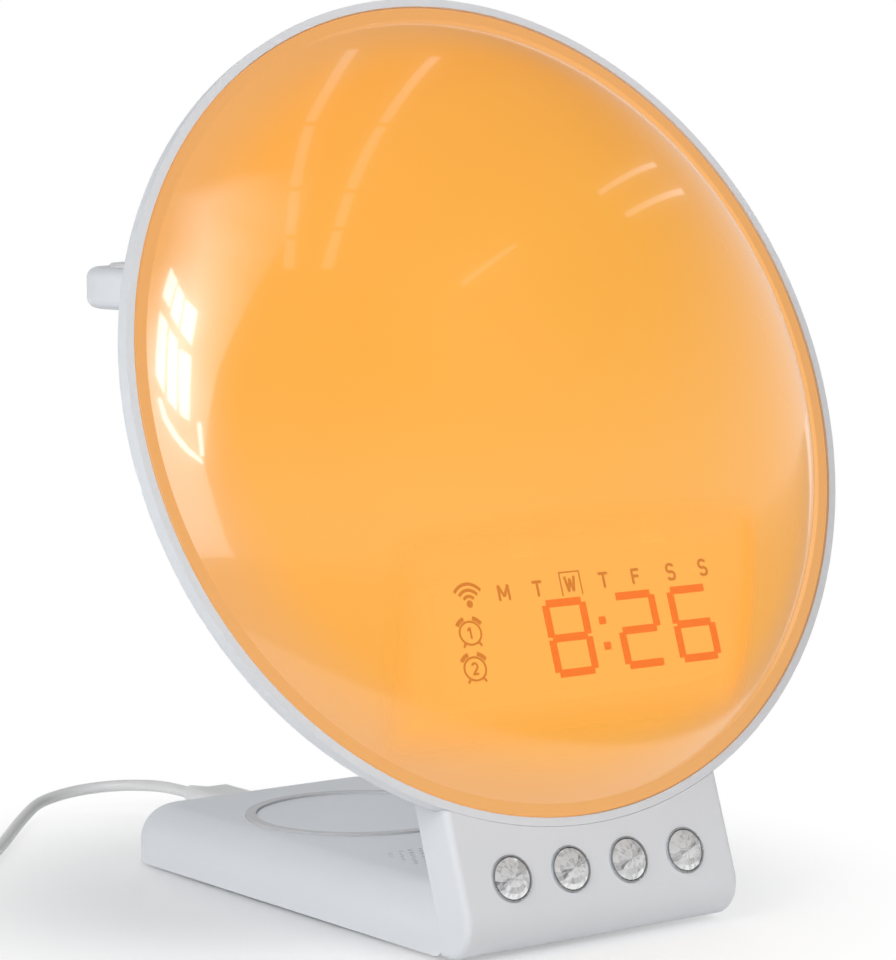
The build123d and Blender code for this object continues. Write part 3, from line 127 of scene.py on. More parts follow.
def moulded_grain():
    """Node group for moulded surfaces: a slow mottle in the colour, a slow change in the gloss and a
    fine pimple for the bump, each from noise on Object coordinates."""
    group = bpy.data.node_groups.new("moulded_grain", "ShaderNodeTree")
    for name, kind in (
        ("Colour", "NodeSocketColor"),
        ("Pimples per metre", "NodeSocketFloat"),
        ("Mottle", "NodeSocketFloat"),
        ("Roughness", "NodeSocketFloat"),
        ("Roughness change", "NodeSocketFloat"),
    ):
        group.interface.new_socket(name=name, in_out="INPUT", socket_type=kind)
    for name, kind in (
        ("Colour", "NodeSocketColor"),
        ("Roughness", "NodeSocketFloat"),
        ("Height", "NodeSocketFloat"),
    ):
        group.interface.new_socket(name=name, in_out="OUTPUT", socket_type=kind)
    nodes, links = group.nodes, group.links
    given = nodes.new("NodeGroupInput")
    out = nodes.new("NodeGroupOutput")
    place = nodes.new("ShaderNodeTexCoord")
    slow = nodes.new("ShaderNodeTexNoise")
    slow.inputs["Scale"].default_value = 38
    slow.inputs["Detail"].default_value = 3
    fine = nodes.new("ShaderNodeTexNoise")
    fine.inputs["Detail"].default_value = 2
    links.new(place.outputs["Object"], slow.inputs["Vector"])
    links.new(place.outputs["Object"], fine.inputs["Vector"])
    links.new(given.outputs["Pimples per metre"], fine.inputs["Scale"])
    spread = nodes.new("ShaderNodeMath")
    spread.operation = "SUBTRACT"
    spread.inputs[1].default_value = 0.5
    links.new(slow.outputs["Fac"], spread.inputs[0])
    amount = nodes.new("ShaderNodeMath")
    amount.operation = "MULTIPLY"
    links.new(spread.outputs[0], amount.inputs[0])
    links.new(given.outputs["Mottle"], amount.inputs[1])
    bright = nodes.new("ShaderNodeMath")
    bright.operation = "ADD"
    bright.inputs[1].default_value = 1.0
    links.new(amount.outputs[0], bright.inputs[0])
    tint = nodes.new("ShaderNodeVectorMath")
    tint.operation = "SCALE"
    links.new(given.outputs["Colour"], tint.inputs[0])
    links.new(bright.outputs[0], tint.inputs["Scale"])
    links.new(tint.outputs[0], out.inputs["Colour"])
    change = nodes.new("ShaderNodeMath")
    change.operation = "MULTIPLY_ADD"
    links.new(spread.outputs[0], change.inputs[0])
    links.new(given.outputs["Roughness change"], change.inputs[1])
    links.new(given.outputs["Roughness"], change.inputs[2])
    links.new(change.outputs[0], out.inputs["Roughness"])
    links.new(fine.outputs["Fac"], out.inputs["Height"])
    return group


grain = moulded_grain()


def new_material(name):
    """Fresh material, returned with its nodes, its links and its Principled BSDF."""
    material = bpy.data.materials.new(name)
    material.use_nodes = True
    nodes, links = material.node_tree.nodes, material.node_tree.links
    return material, nodes, links, nodes["Principled BSDF"]


def moulded(name, colour, roughness, pimples=2600, depth=0.00002, mottle=0.05, **sockets):
    """Material of a moulded, painted or rubber surface: the grain group into a Principled BSDF."""
    material, nodes, links, skin = new_material(name)
    texture = nodes.new("ShaderNodeGroup")
    texture.node_tree = grain
    texture.inputs["Colour"].default_value = (*colour, 1)
    texture.inputs["Pimples per metre"].default_value = pimples
    texture.inputs["Mottle"].default_value = mottle
    texture.inputs["Roughness"].default_value = roughness
    texture.inputs["Roughness change"].default_value = 0.12
    bump = nodes.new("ShaderNodeBump")
    bump.inputs["Strength"].default_value = 0.5
    bump.inputs["Distance"].default_value = depth
    links.new(texture.outputs["Colour"], skin.inputs["Base Color"])
    links.new(texture.outputs["Roughness"], skin.inputs["Roughness"])
    links.new(texture.outputs["Height"], bump.inputs["Height"])
    links.new(bump.outputs["Normal"], skin.inputs["Normal"])
    for socket, value in sockets.items():
        skin.inputs[socket.replace("_", " ")].default_value = value
    material.diffuse_color = (*colour, 1)
    return material


def dress(material, *names):
    """Gives a material to the shown solids of these names."""
    for name in names:
        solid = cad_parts[name]
        if not solid.material_slots:
            solid.data.materials.append(material)
        for place in solid.material_slots:
            place.material = material


lead_jacket = moulded("lead_jacket", (0.80, 0.80, 0.79), 0.42, pimples=5200, depth=0.00001)
lead_curve.materials.append(lead_jacket)
plug_cover = moulded("plug_cover", (0.80, 0.80, 0.80), 0.38, pimples=3400)
dress(plug_cover, "inlet_plug", "far_plug")
tie_strap = moulded("tie_strap", (0.035, 0.035, 0.037), 0.55, pimples=1800, depth=0.00006)
dress(tie_strap, "coil_tie")

# ---------------------------------------------------------------- drawn metal
# Screws, plates and plug shells are steel, plated with zinc or nickel. Rolling and drawing leave
# faint parallel marks in them.


def drawn_metal(name, colour, roughness, direction):
    """Metal with fine parallel marks: noise squeezed across one direction drives bump and gloss."""
    material, nodes, links, skin = new_material(name)
    skin.inputs["Metallic"].default_value = 1.0
    place = nodes.new("ShaderNodeTexCoord")
    squeeze = nodes.new("ShaderNodeMapping")
    squeeze.inputs["Scale"].default_value = direction
    marks = nodes.new("ShaderNodeTexNoise")
    marks.inputs["Scale"].default_value = 900
    marks.inputs["Detail"].default_value = 4
    shade = nodes.new("ShaderNodeMapRange")
    shade.inputs["To Min"].default_value = roughness - 0.08
    shade.inputs["To Max"].default_value = roughness + 0.10
    tone = nodes.new("ShaderNodeMixRGB")
    tone.inputs[1].default_value = (*[part * 0.86 for part in colour], 1)
    tone.inputs[2].default_value = (*colour, 1)
    bump = nodes.new("ShaderNodeBump")
    bump.inputs["Strength"].default_value = 0.3
    bump.inputs["Distance"].default_value = 0.00001
    links.new(place.outputs["Object"], squeeze.inputs["Vector"])
    links.new(squeeze.outputs["Vector"], marks.inputs["Vector"])
    links.new(marks.outputs["Fac"], shade.inputs["Value"])
    links.new(shade.outputs["Result"], skin.inputs["Roughness"])
    links.new(marks.outputs["Fac"], tone.inputs[0])
    links.new(tone.outputs[0], skin.inputs["Base Color"])
    links.new(marks.outputs["Fac"], bump.inputs["Height"])
    links.new(bump.outputs["Normal"], skin.inputs["Normal"])
    material.diffuse_color = (*colour, 1)
    return material


zinc = drawn_metal("zinc_plate", (0.60, 0.61, 0.62), 0.36, (1, 1, 0.15))
dress(
    zinc,
    "neck_screws",
    "cover_screws",
    "foot_plate_screws",
    "board_screws",
    "button_board_screws",
    "arm_screws",
)
dress(drawn_metal("neck_steel", (0.52, 0.53, 0.55), 0.42, (0.08, 1, 1)), "neck_plate")
nickel = drawn_metal("nickel_shell", (0.72, 0.71, 0.69), 0.28, (1, 0.12, 1))
dress(nickel, "far_plug_shell", "inlet_plug_tip", "power_socket")

# ---------------------------------------------------------------- white mouldings
# The head's pan, the base, its cover and the watch arm are injection moulded in one soft white
# plastic with a very fine spark-eroded texture.
shell_white = moulded("shell_white", (0.735, 0.755, 0.785), 0.46, pimples=3200, depth=0.000006, mottle=0.02)
dress(shell_white, "rear_housing", "base_shell", "arm_tray", "arm_lid")
cover_white = moulded("cover_white", (0.70, 0.705, 0.715), 0.55, pimples=2400, depth=0.00003)
dress(cover_white, "bottom_cover")

# ---------------------------------------------------------------- lit dome
# The dome is blown from milky polycarbonate with a polished outside. The chips behind it fill it
# with a warm, nearly even glow, made duller and paler round its foot by painted shade and a painted
# pale reflection, and it is thinner over the display.
tilt = radians(18.9)
lamp_middle = Vector((0, -0.0312875, 0.1109637))
lamp_up = Vector((0, sin(tilt), cos(tilt)))
lamp_out = Vector((0, -cos(tilt), sin(tilt)))
lamp_frame = np.array([[1, 0, 0], list(lamp_up), list(lamp_out)])
dome_rise = 0.03368
dome_foot = 0.08625
dome_wall = 0.0018
flange_top = -0.0002
flange_back = -0.0018
flange_edge = 0.08895
flange_round = 0.0003
dome_sphere = (dome_foot**2 + (dome_rise - flange_top) ** 2) / (2 * (dome_rise - flange_top))
dome_offset = dome_rise - dome_sphere


def solid_mesh(name, points, faces, material, sharp):
    """Object from an array of points and a list of faces, smooth but for edges sharper than an angle
    in degrees."""
    mesh = bpy.data.meshes.new(name)
    mesh.from_pydata([tuple(p) for p in points], [], [tuple(int(i) for i in face) for face in faces])
    mesh.polygons.foreach_set("use_smooth", np.ones(len(mesh.polygons), dtype=bool))
    mesh.set_sharp_from_angle(angle=radians(sharp))
    mesh.materials.append(material)
    mesh.update()
    thing = bpy.data.objects.new(name, mesh)
    scene.collection.objects.link(thing)
    return thing


def turned(profile, count):
    """Points and faces of a body turned round the lamp's axis: radius and height of each profile step
    are carried round as (r cos a, r sin a, h), and the first and last steps, on the axis, are one point."""
    angle = 2 * pi * np.arange(count) / count
    inner = profile[1:-1]
    x = inner[:, 0:1] * np.cos(angle)
    y = inner[:, 0:1] * np.sin(angle)
    h = np.repeat(inner[:, 1:2], count, axis=1)
    local = np.column_stack([x.ravel(), y.ravel(), h.ravel()])
    local = np.vstack([local, [0, 0, profile[0, 1]], [0, 0, profile[-1, 1]]])
    points = local @ lamp_frame + np.array(lamp_middle)
    rows = len(inner)
    i, j = np.meshgrid(np.arange(rows - 1), np.arange(count), indexing="ij")
    k = (j + 1) % count
    corners = [i * count + j, (i + 1) * count + j, (i + 1) * count + k, i * count + k]
    quads = np.stack(corners, axis=-1).reshape(-1, 4)
    step = np.arange(count)
    after = (step + 1) % count
    first = np.stack([np.full(count, rows * count), step, after], axis=-1)
    base = (rows - 1) * count
    last = np.stack([base + after, base + step, np.full(count, rows * count + 1)], axis=-1)
    return points, quads.tolist() + first.tolist() + last.tolist()


outer_swing = np.linspace(0, np.arcsin(dome_foot / dome_sphere), 72)
outer_curve = dome_sphere * np.column_stack([np.sin(outer_swing), np.cos(outer_swing)]) + [0, dome_offset]
inner_sphere = dome_sphere - dome_wall
inner_foot = sqrt(inner_sphere**2 - (dome_offset - flange_back) ** 2)
inner_swing = np.linspace(np.arcsin(inner_foot / inner_sphere), 0, 40)
inner_curve = inner_sphere * np.column_stack([np.sin(inner_swing), np.cos(inner_swing)]) + [0, dome_offset]
flange_line = np.array(
    [
        [dome_foot + flange_round, flange_top],
        [flange_edge - flange_round, flange_top],
        [flange_edge, flange_top - flange_round],
        [flange_edge, flange_back],
    ]
)
dome_points, dome_faces = turned(np.vstack([outer_curve, flange_line, inner_curve]), 288)

dome_milk, nodes, links, milk = new_material("dome_milk")
milk.inputs["Base Color"].default_value = (0.32, 0.155, 0.035, 1)
milk.inputs["Roughness"].default_value = 0.16
milk.inputs["Coat Weight"].default_value = 0.85
milk.inputs["Coat Roughness"].default_value = 0.04
place = nodes.new("ShaderNodeTexCoord")
onto_lamp = nodes.new("ShaderNodeMapping")
onto_lamp.vector_type = "TEXTURE"
onto_lamp.inputs["Location"].default_value = lamp_middle
onto_lamp.inputs["Rotation"].default_value = (pi / 2 - tilt, 0, 0)
links.new(place.outputs["Object"], onto_lamp.inputs["Vector"])
parts = nodes.new("ShaderNodeSeparateXYZ")
links.new(onto_lamp.outputs["Vector"], parts.inputs["Vector"])
flat = nodes.new("ShaderNodeCombineXYZ")
links.new(parts.outputs["X"], flat.inputs["X"])
links.new(parts.outputs["Y"], flat.inputs["Y"])
reach = nodes.new("ShaderNodeVectorMath")
reach.operation = "DISTANCE"
reach.inputs[1].default_value = (0.014, -0.020, 0)
links.new(flat.outputs["Vector"], reach.inputs[0])
outward = nodes.new("ShaderNodeMapRange")
outward.inputs["From Max"].default_value = 0.113
links.new(reach.outputs["Value"], outward.inputs["Value"])
glow = nodes.new("ShaderNodeValToRGB")
glow.color_ramp.interpolation = "EASE"
stops = glow.color_ramp.elements
stops[0].position = 0.0
stops[0].color = (0.91, 0.398, 0.042, 1)
stops[1].position = 1.0
stops[1].color = (0.88, 0.330, 0.036, 1)
for position, colour in (
    (0.45, (0.91, 0.392, 0.042)),
    (0.70, (0.90, 0.372, 0.040)),
    (0.86, (0.90, 0.350, 0.038)),
):
    stop = stops.new(position)
    stop.color = (*colour, 1)
links.new(outward.outputs["Result"], glow.inputs["Fac"])
# painted shade and painted pale reflection: the glow is mixed to a duller, paler colour round the foot
off_axis = nodes.new("ShaderNodeVectorMath")
off_axis.operation = "LENGTH"
links.new(flat.outputs["Vector"], off_axis.inputs[0])
painted_foot_shade = nodes.new("ShaderNodeMapRange")
painted_foot_shade.interpolation_type = "SMOOTHSTEP"
painted_foot_shade.inputs["From Min"].default_value = 0.072
painted_foot_shade.inputs["From Max"].default_value = 0.0875
painted_foot_shade.inputs["To Max"].default_value = 0.75
links.new(off_axis.outputs["Value"], painted_foot_shade.inputs["Value"])
painted_dull_foot = nodes.new("ShaderNodeMixRGB")
painted_dull_foot.inputs[2].default_value = (0.68, 0.355, 0.155, 1)
links.new(painted_foot_shade.outputs["Result"], painted_dull_foot.inputs[0])
links.new(glow.outputs["Color"], painted_dull_foot.inputs[1])
links.new(painted_dull_foot.outputs[0], milk.inputs["Emission Color"])
milk.inputs["Emission Strength"].default_value = 0.80
# thin place over the display: a rectangle in the lamp's own plane, from its middle and its half sizes
sides = []
for axis, middle, half in (("X", -0.0025, 0.0395), ("Y", -0.052, 0.014)):
    offset = nodes.new("ShaderNodeMath")
    offset.operation = "SUBTRACT"
    offset.inputs[1].default_value = middle
    links.new(parts.outputs[axis], offset.inputs[0])
    size = nodes.new("ShaderNodeMath")
    size.operation = "ABSOLUTE"
    links.new(offset.outputs[0], size.inputs[0])
    fade = nodes.new("ShaderNodeMapRange")
    fade.interpolation_type = "SMOOTHSTEP"
    fade.inputs["From Min"].default_value = half + 0.010
    fade.inputs["From Max"].default_value = half
    links.new(size.outputs[0], fade.inputs["Value"])
    sides.append(fade)
thin = nodes.new("ShaderNodeMath")
thin.operation = "MULTIPLY"
links.new(sides[0].outputs["Result"], thin.inputs[0])
links.new(sides[1].outputs["Result"], thin.inputs[1])
cover = nodes.new("ShaderNodeMapRange")
cover.inputs["To Min"].default_value = 1.0
cover.inputs["To Max"].default_value = 0.20
links.new(thin.outputs[0], cover.inputs["Value"])
links.new(cover.outputs["Result"], milk.inputs["Alpha"])
dome_milk.diffuse_color = (0.98, 0.45, 0.09, 1)

dome = solid_mesh("lit_dome", dome_points, dome_faces, dome_milk, 30)
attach(dome, "clock")
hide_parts("front_diffuser")

# ---------------------------------------------------------------- light engine
# A white tray behind the dome throws the chips' light forward. The board is screwed to posts of the
# pan behind it, and its chips shine through small windows in the tray's floor.


def lamp_and_painted_glow(name, light, strength):
    """Emissive surface inside the dome with a dark base: on the chips and the display's bars it is their
    own light; on every other part it is painted light, standing in for the chips' warm light falling on it.
    """
    colour = [part * 0.12 for part in light]
    material = moulded(name, colour, 0.7, pimples=1500, mottle=0.06, Specular_IOR_Level=0.08)
    skin = material.node_tree.nodes["Principled BSDF"]
    skin.inputs["Emission Color"].default_value = (*light, 1)
    skin.inputs["Emission Strength"].default_value = strength
    return material


dome_light = (0.98, 0.464, 0.105)
# painted glow: the tray, the chips' board and its screws emit in place of the chips' light on them; only
# the chips are lamps
dress(lamp_and_painted_glow("tray_painted_glow", dome_light, 0.97), "reflector_tray")
dress(lamp_and_painted_glow("chip_light_and_painted_board_glow", dome_light, 1.0), "led_chips", "led_board_screws", "led_board")


def solder_resist():
    """Printed board: flat tracks from a stretched brick pattern under a green varnish, with pale pads."""
    material, nodes, links, skin = new_material("solder_resist")
    skin.inputs["Coat Weight"].default_value = 0.3
    place = nodes.new("ShaderNodeTexCoord")
    tracks = nodes.new("ShaderNodeTexBrick")
    tracks.inputs["Scale"].default_value = 320
    tracks.inputs["Mortar Size"].default_value = 0.035
    tracks.inputs["Color1"].default_value = (0.010, 0.085, 0.035, 1)
    tracks.inputs["Color2"].default_value = (0.012, 0.100, 0.040, 1)
    tracks.inputs["Mortar"].default_value = (0.025, 0.20, 0.08, 1)
    bump = nodes.new("ShaderNodeBump")
    bump.inputs["Strength"].default_value = 0.4
    bump.inputs["Distance"].default_value = 0.00003
    gloss = nodes.new("ShaderNodeMapRange")
    gloss.inputs["To Min"].default_value = 0.30
    gloss.inputs["To Max"].default_value = 0.42
    links.new(place.outputs["Object"], tracks.inputs["Vector"])
    links.new(tracks.outputs["Color"], skin.inputs["Base Color"])
    links.new(tracks.outputs["Fac"], bump.inputs["Height"])
    links.new(tracks.outputs["Fac"], gloss.inputs["Value"])
    links.new(gloss.outputs["Result"], skin.inputs["Roughness"])
    links.new(bump.outputs["Normal"], skin.inputs["Normal"])
    material.diffuse_color = (0.012, 0.1, 0.04, 1)
    return material


dress(solder_resist(), "display_board", "button_board", "main_board")

# ---------------------------------------------------------------- display
# A shallow box stands behind the thin place of the dome. Its front is a warm tinted sheet with slots
# for the bars of three figures and a colon; week days and small signs are printed beside them.
# painted glow: the sheet emits in place of the chips' light on it; the bars are the display's own lit
# segments
dress(lamp_and_painted_glow("display_sheet", dome_light, 0.98), "display_shroud")
dress(lamp_and_painted_glow("lit_bars", (0.86, 0.078, 0.010), 1.0), "display_segments")
mark_plane = 0.00735
mark_depth = 0.0001


def stroke(points, width):
    """Flat ribbon along a line of points: each point moved half the width to both sides of the line's
    direction there, and the same again a little lower, closed all round."""
    points = np.asarray(points, dtype=float)
    run = np.gradient(points, axis=0)
    run /= np.linalg.norm(run, axis=1)[:, None]
    side = np.column_stack([-run[:, 1], run[:, 0]]) * width / 2
    left, right = points + side, points - side
    count = len(points)
    flat_points = np.vstack([left, right, left, right])
    height = np.repeat([0.0, -mark_depth], 2 * count)
    i = np.arange(count - 1)
    top = np.stack([i, count + i, count + i + 1, i + 1], axis=-1)
    low = np.stack([2 * count + i + 1, 3 * count + i + 1, 3 * count + i, 2 * count + i], axis=-1)
    left_wall = np.stack([i + 1, 2 * count + i + 1, 2 * count + i, i], axis=-1)
    right_wall = np.stack([count + i, 3 * count + i, 3 * count + i + 1, count + i + 1], axis=-1)
    last = count - 1
    faces = np.vstack([top, low, left_wall, right_wall]).tolist()
    faces.append([0, 2 * count, 3 * count, count])
    faces.append([count + last, 3 * count + last, 2 * count + last, last])
    return np.column_stack([flat_points, height]), faces


def arc(middle, radius, start, end, count=25, wide=1.0):
    """Points along part of a circle, or of an ellipse that is wider than high, angles in degrees."""
    a = np.radians(np.linspace(start, end, count))
    return np.column_stack([middle[0] + wide * radius * np.cos(a), middle[1] + radius * np.sin(a)])


# each sign as strokes, in halves of its width and height
bowl_up = arc((0, 0.48), 0.52, 25, 270, 21, 1.5)
bowl_low = arc((0, -0.48), 0.52, 90, -155, 21, 1.5)
hook = arc((0, 0.42), 0.58, 165, -35, 13, 1.45)
sign_strokes = {
    "M": (((-1, -1), (-1, 1)), ((-1, 1), (0, -0.5)), ((0, -0.5), (1, 1)), ((1, 1), (1, -1))),
    "T": (((-1, 0.88), (1, 0.88)), ((0, 0.88), (0, -1))),
    "W": (((-1, 1), (-0.5, -1)), ((-0.5, -1), (0, 0.7)), ((0, 0.7), (0.5, -1)), ((0.5, -1), (1, 1))),
    "F": (((-0.7, 0.88), (0.8, 0.88)), ((-0.7, 1), (-0.7, -1)), ((-0.7, 0.05), (0.6, 0.05))),
    "S": (bowl_up, bowl_low),
    "1": (((-0.8, 0.45), (0.1, 1)), ((0.1, 1), (0.1, -1))),
    "2": (hook, ((0.69, 0.09), (-0.85, -1)), ((-0.95, -0.92), (0.95, -0.92))),
}
letter_half, letter_stroke = (0.00125, 0.00165), 0.00064
number_half, number_stroke = (0.00078, 0.00118), 0.00050
box_stroke, box_overlap = 0.00035, 0.00017
clock_ring, clock_wide = 0.0024, 1.12  # the alarm signs are a little wider than high
bell_radius, bell_half_angle = 0.0032, 20
signs = []
for text, x, y in (
    # millimetres from the lamp's middle
    ("M", -15.7, -42.0),
    ("T", -6.9, -41.9),
    ("W", 1.75, -41.55),
    ("T", 10.7, -41.5),
    ("F", 19.4, -41.4),
    ("S", 29.0, -41.2),
    ("S", 38.0, -40.95),
):
    for line in sign_strokes[text]:
        line = np.array(line) * letter_half + (x / 1000, y / 1000)
        signs.append(stroke(line, letter_stroke))
box_left, box_right, box_top, box_low = -0.0007, 0.0045, -0.0390, -0.0440
for start, end in (
    ((box_left, box_low), (box_left, box_top)),
    ((box_left - box_overlap, box_top), (box_right + box_overlap, box_top)),
    ((box_right, box_low), (box_right, box_top)),
):
    signs.append(stroke(np.linspace(start, end, 4), box_stroke))
fan_foot = (-0.0248, -0.0436)
signs.append(stroke(arc(fan_foot, 0.0004, 0, 360), 0.0008))
for ring in (0.0016, 0.0029, 0.0042):
    signs.append(stroke(arc(fan_foot, ring, 38, 142), 0.0007))
for number, x, y in (("1", -0.0261, -0.0496), ("2", -0.0267, -0.0570)):
    for line in sign_strokes[number]:
        signs.append(stroke(np.array(line) * number_half + (x, y), number_stroke))
    signs.append(stroke(arc((x, y), clock_ring, 0, 360, 49, clock_wide), 0.00048))
    for turn in (52, 128):
        bell = arc((x, y), bell_radius, turn - bell_half_angle, turn + bell_half_angle, 13, clock_wide)
        signs.append(stroke(bell, 0.0009))
    for turn in (-54, -126):
        foot_way = np.array([clock_wide * cos(radians(turn)), sin(radians(turn))])
        foot_line = np.array([x, y]) + np.linspace(0.0026, 0.0035, 3)[:, None] * foot_way
        signs.append(stroke(foot_line, 0.00055))
sign_points, sign_faces, taken = [], [], 0
for points, faces in signs:
    sign_points.append(points)
    sign_faces += [[index + taken for index in face] for face in faces]
    taken += len(points)
sign_points = np.vstack(sign_points) + np.array([0, 0, mark_plane])
sign_points = sign_points @ lamp_frame + np.array(lamp_middle)
# painted glow: the red print emits in place of the light shining through the sheet behind it
painted_glow_print_red = lamp_and_painted_glow("printed_signs_painted_glow", (0.50, 0.100, 0.018), 1.0)
day_signs = solid_mesh("day_signs", sign_points, sign_faces, painted_glow_print_red, 30)
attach(day_signs, "clock")

# ---------------------------------------------------------------- push buttons
# Each button wears a glued-on cut crystal with a silvered back, in a thin polished ring. The crystal
# and the grey stem under it are pushed in together.
button_drop = 0.09964  # below the lamp's middle, along the leg's face
button_pitch = 0.0458 / 3
crystal_rings = (
    # radius and height of each ring of corners, from the foot up
    (0.00435, -0.0004),
    (0.00435, 0.00028),
    (0.00330, 0.00080),
    (0.00205, 0.00114),
    (0.00080, 0.00129),
)


def cut_crystal(middle_x):
    """Round stone: a girdle and three rows of narrow facets that climb to a small table, each row turned
    half a step against the row below. Returns the angle of every facet's middle as well."""
    count = 24
    step = np.arange(count)
    local = []
    for row, (radius, height) in enumerate(crystal_rings):
        angle = 2 * pi * (step + 0.5 * max(row - 1, 0)) / count
        x, y = radius * np.cos(angle), radius * np.sin(angle)
        local.append(np.column_stack([x, y, np.full(count, height)]))
    local = np.vstack(local + [[[0, 0, crystal_rings[0][1]]], [[0, 0, crystal_rings[-1][1]]]])
    after = (step + 1) % count
    foot = len(crystal_rings) * count
    table = foot + 1
    last = foot - count
    faces = np.stack([step, after, count + after, count + step], axis=-1).tolist()
    faces += np.stack([np.full(count, foot), after, step], axis=-1).tolist()
    faces += np.stack([np.full(count, table), last + step, last + after], axis=-1).tolist()
    for row in range(1, len(crystal_rings) - 1):
        low, high = row * count, (row + 1) * count
        faces += np.stack([low + step, low + after, high + step], axis=-1).tolist()
        faces += np.stack([low + after, high + after, high + step], axis=-1).tolist()
    middles = np.array([local[face].mean(axis=0) for face in faces])
    facing = np.degrees(np.arctan2(middles[:, 1], middles[:, 0]))
    local += [middle_x, -button_drop, 0]
    return local @ lamp_frame + np.array(lamp_middle), faces, facing


silvered_crystal, nodes, links, stone = new_material("silvered_crystal")
stone.inputs["Metallic"].default_value = 0.40
stone.inputs["Roughness"].default_value = 0.08
stone.inputs["Coat Weight"].default_value = 1.0
stone.inputs["Coat Roughness"].default_value = 0.01
# facets facing darker parts of a room, with a little fine noise added
# painted reflection: each facet's colour runs from dark to silver with its tone, drawn at random per facet
# and lowered on
tone = nodes.new("ShaderNodeAttribute")
tone.attribute_name = "tone"
streaks = nodes.new("ShaderNodeTexNoise")
streaks.inputs["Scale"].default_value = 900
streaks.inputs["Detail"].default_value = 1
place = nodes.new("ShaderNodeTexCoord")
links.new(place.outputs["Object"], streaks.inputs["Vector"])
blend = nodes.new("ShaderNodeMath")
blend.operation = "MULTIPLY_ADD"
blend.inputs[1].default_value = 0.4
blend.inputs[2].default_value = -0.15
links.new(streaks.outputs["Fac"], blend.inputs[0])
total = nodes.new("ShaderNodeMath")
total.operation = "ADD"
total.use_clamp = True
links.new(tone.outputs["Fac"], total.inputs[0])
links.new(blend.outputs[0], total.inputs[1])
silver = nodes.new("ShaderNodeValToRGB")
silver.color_ramp.elements[0].color = (0.16, 0.165, 0.175, 1)
silver.color_ramp.elements[1].color = (0.96, 0.97, 0.98, 1)
links.new(total.outputs[0], silver.inputs["Fac"])
links.new(silver.outputs["Color"], stone.inputs["Base Color"])
silvered_crystal.diffuse_color = (0.7, 0.71, 0.72, 1)

dark_side, dull_side = -163, 32  # facets facing these ways, in degrees, are painted darker: a painted reflection of darker parts of a room
painted_facet_tones = np.random.default_rng(7)
for number in range(1, 5):
    points, faces, facing = cut_crystal((number - 2.5) * button_pitch)
    gem = solid_mesh(f"crystal_{number}", points, faces, silvered_crystal, 1)
    gem.data.polygons.foreach_set("use_smooth", np.zeros(len(gem.data.polygons), dtype=bool))
    shade = gem.data.attributes.new("tone", "FLOAT", "FACE")
    values = painted_facet_tones.choice([0.6, 0.8, 0.9, 1.0, 1.0], len(faces))
    values[np.abs(facing - dark_side) < 14] -= 0.45
    values[np.abs(facing - dull_side) < 20] -= 0.30
    shade.data.foreach_set("value", values)
    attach(gem, f"button_{number}")
    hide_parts(f"button_crystal_{number}")
dress(drawn_metal("polished_ring", (0.90, 0.91, 0.93), 0.24, (1, 1, 1)), "button_rings")
stem_grey = moulded("stem_grey", (0.055, 0.055, 0.058), 0.5)
dress(stem_grey, "button_stem_1", "button_stem_2", "button_stem_3", "button_stem_4", "tact_switches")

# ---------------------------------------------------------------- chargers and electronics
# Windings of enamelled copper lie on black ferrite under the pad and in the watch arm. Chips, coin
# cell and speaker sit inside the base.


def winding(name, middle):
    """Copper wound flat: rings about the coil's middle, from a wave pattern centred there."""
    material, nodes, links, skin = new_material(name)
    skin.inputs["Metallic"].default_value = 0.85
    skin.inputs["Roughness"].default_value = 0.32
    place = nodes.new("ShaderNodeTexCoord")
    centre = nodes.new("ShaderNodeMapping")
    centre.vector_type = "TEXTURE"
    centre.inputs["Location"].default_value = middle
    wires = nodes.new("ShaderNodeTexWave")
    wires.wave_type = "RINGS"
    wires.rings_direction = "Z"
    wires.inputs["Scale"].default_value = 330
    wires.inputs["Distortion"].default_value = 0.4
    shades = nodes.new("ShaderNodeMixRGB")
    shades.inputs[1].default_value = (0.20, 0.060, 0.022, 1)
    shades.inputs[2].default_value = (0.66, 0.27, 0.12, 1)
    bump = nodes.new("ShaderNodeBump")
    bump.inputs["Distance"].default_value = 0.0001
    links.new(place.outputs["Object"], centre.inputs["Vector"])
    links.new(centre.outputs["Vector"], wires.inputs["Vector"])
    links.new(wires.outputs["Fac"], shades.inputs[0])
    links.new(shades.outputs[0], skin.inputs["Base Color"])
    links.new(wires.outputs["Fac"], bump.inputs["Height"])
    links.new(bump.outputs["Normal"], skin.inputs["Normal"])
    material.diffuse_color = (0.66, 0.27, 0.12, 1)
    return material


dress(winding("phone_winding", (0, 0.0246, 0)), "phone_coil")
dress(winding("watch_winding", (-0.033, 0.049, 0)), "watch_coil")
ferrite = moulded("black_ferrite", (0.025, 0.025, 0.028), 0.62, pimples=1200, depth=0.00005, mottle=0.3)
dress(ferrite, "phone_coil_ferrite", "watch_coil_ferrite")
dress(moulded("black_package", (0.022, 0.022, 0.024), 0.58, pimples=2800), "board_parts")
dress(moulded("grey_carrier", (0.16, 0.16, 0.17), 0.55), "coil_carrier", "cell_holder")
flat_cable = moulded("flat_cable", (0.66, 0.65, 0.62), 0.45, pimples=700, mottle=0.2)
dress(flat_cable, "head_ribbon", "base_ribbon")
dress(moulded("speaker_black", (0.035, 0.035, 0.038), 0.5, pimples=1500), "speaker_frame")
paper = moulded("paper_cone", (0.060, 0.056, 0.052), 0.85, pimples=1300, depth=0.00008, mottle=0.35)
dress(paper, "speaker_cone")
magnet_nickel = drawn_metal("magnet_nickel", (0.66, 0.66, 0.65), 0.22, (1, 1, 1))
dress(magnet_nickel, "speaker_magnet", "watch_magnet", "backup_cell")
silicone = moulded("grip_silicone", (0.60, 0.60, 0.61), 0.62, pimples=1800, depth=0.00003)
dress(silicone, "anti_slip_ring")
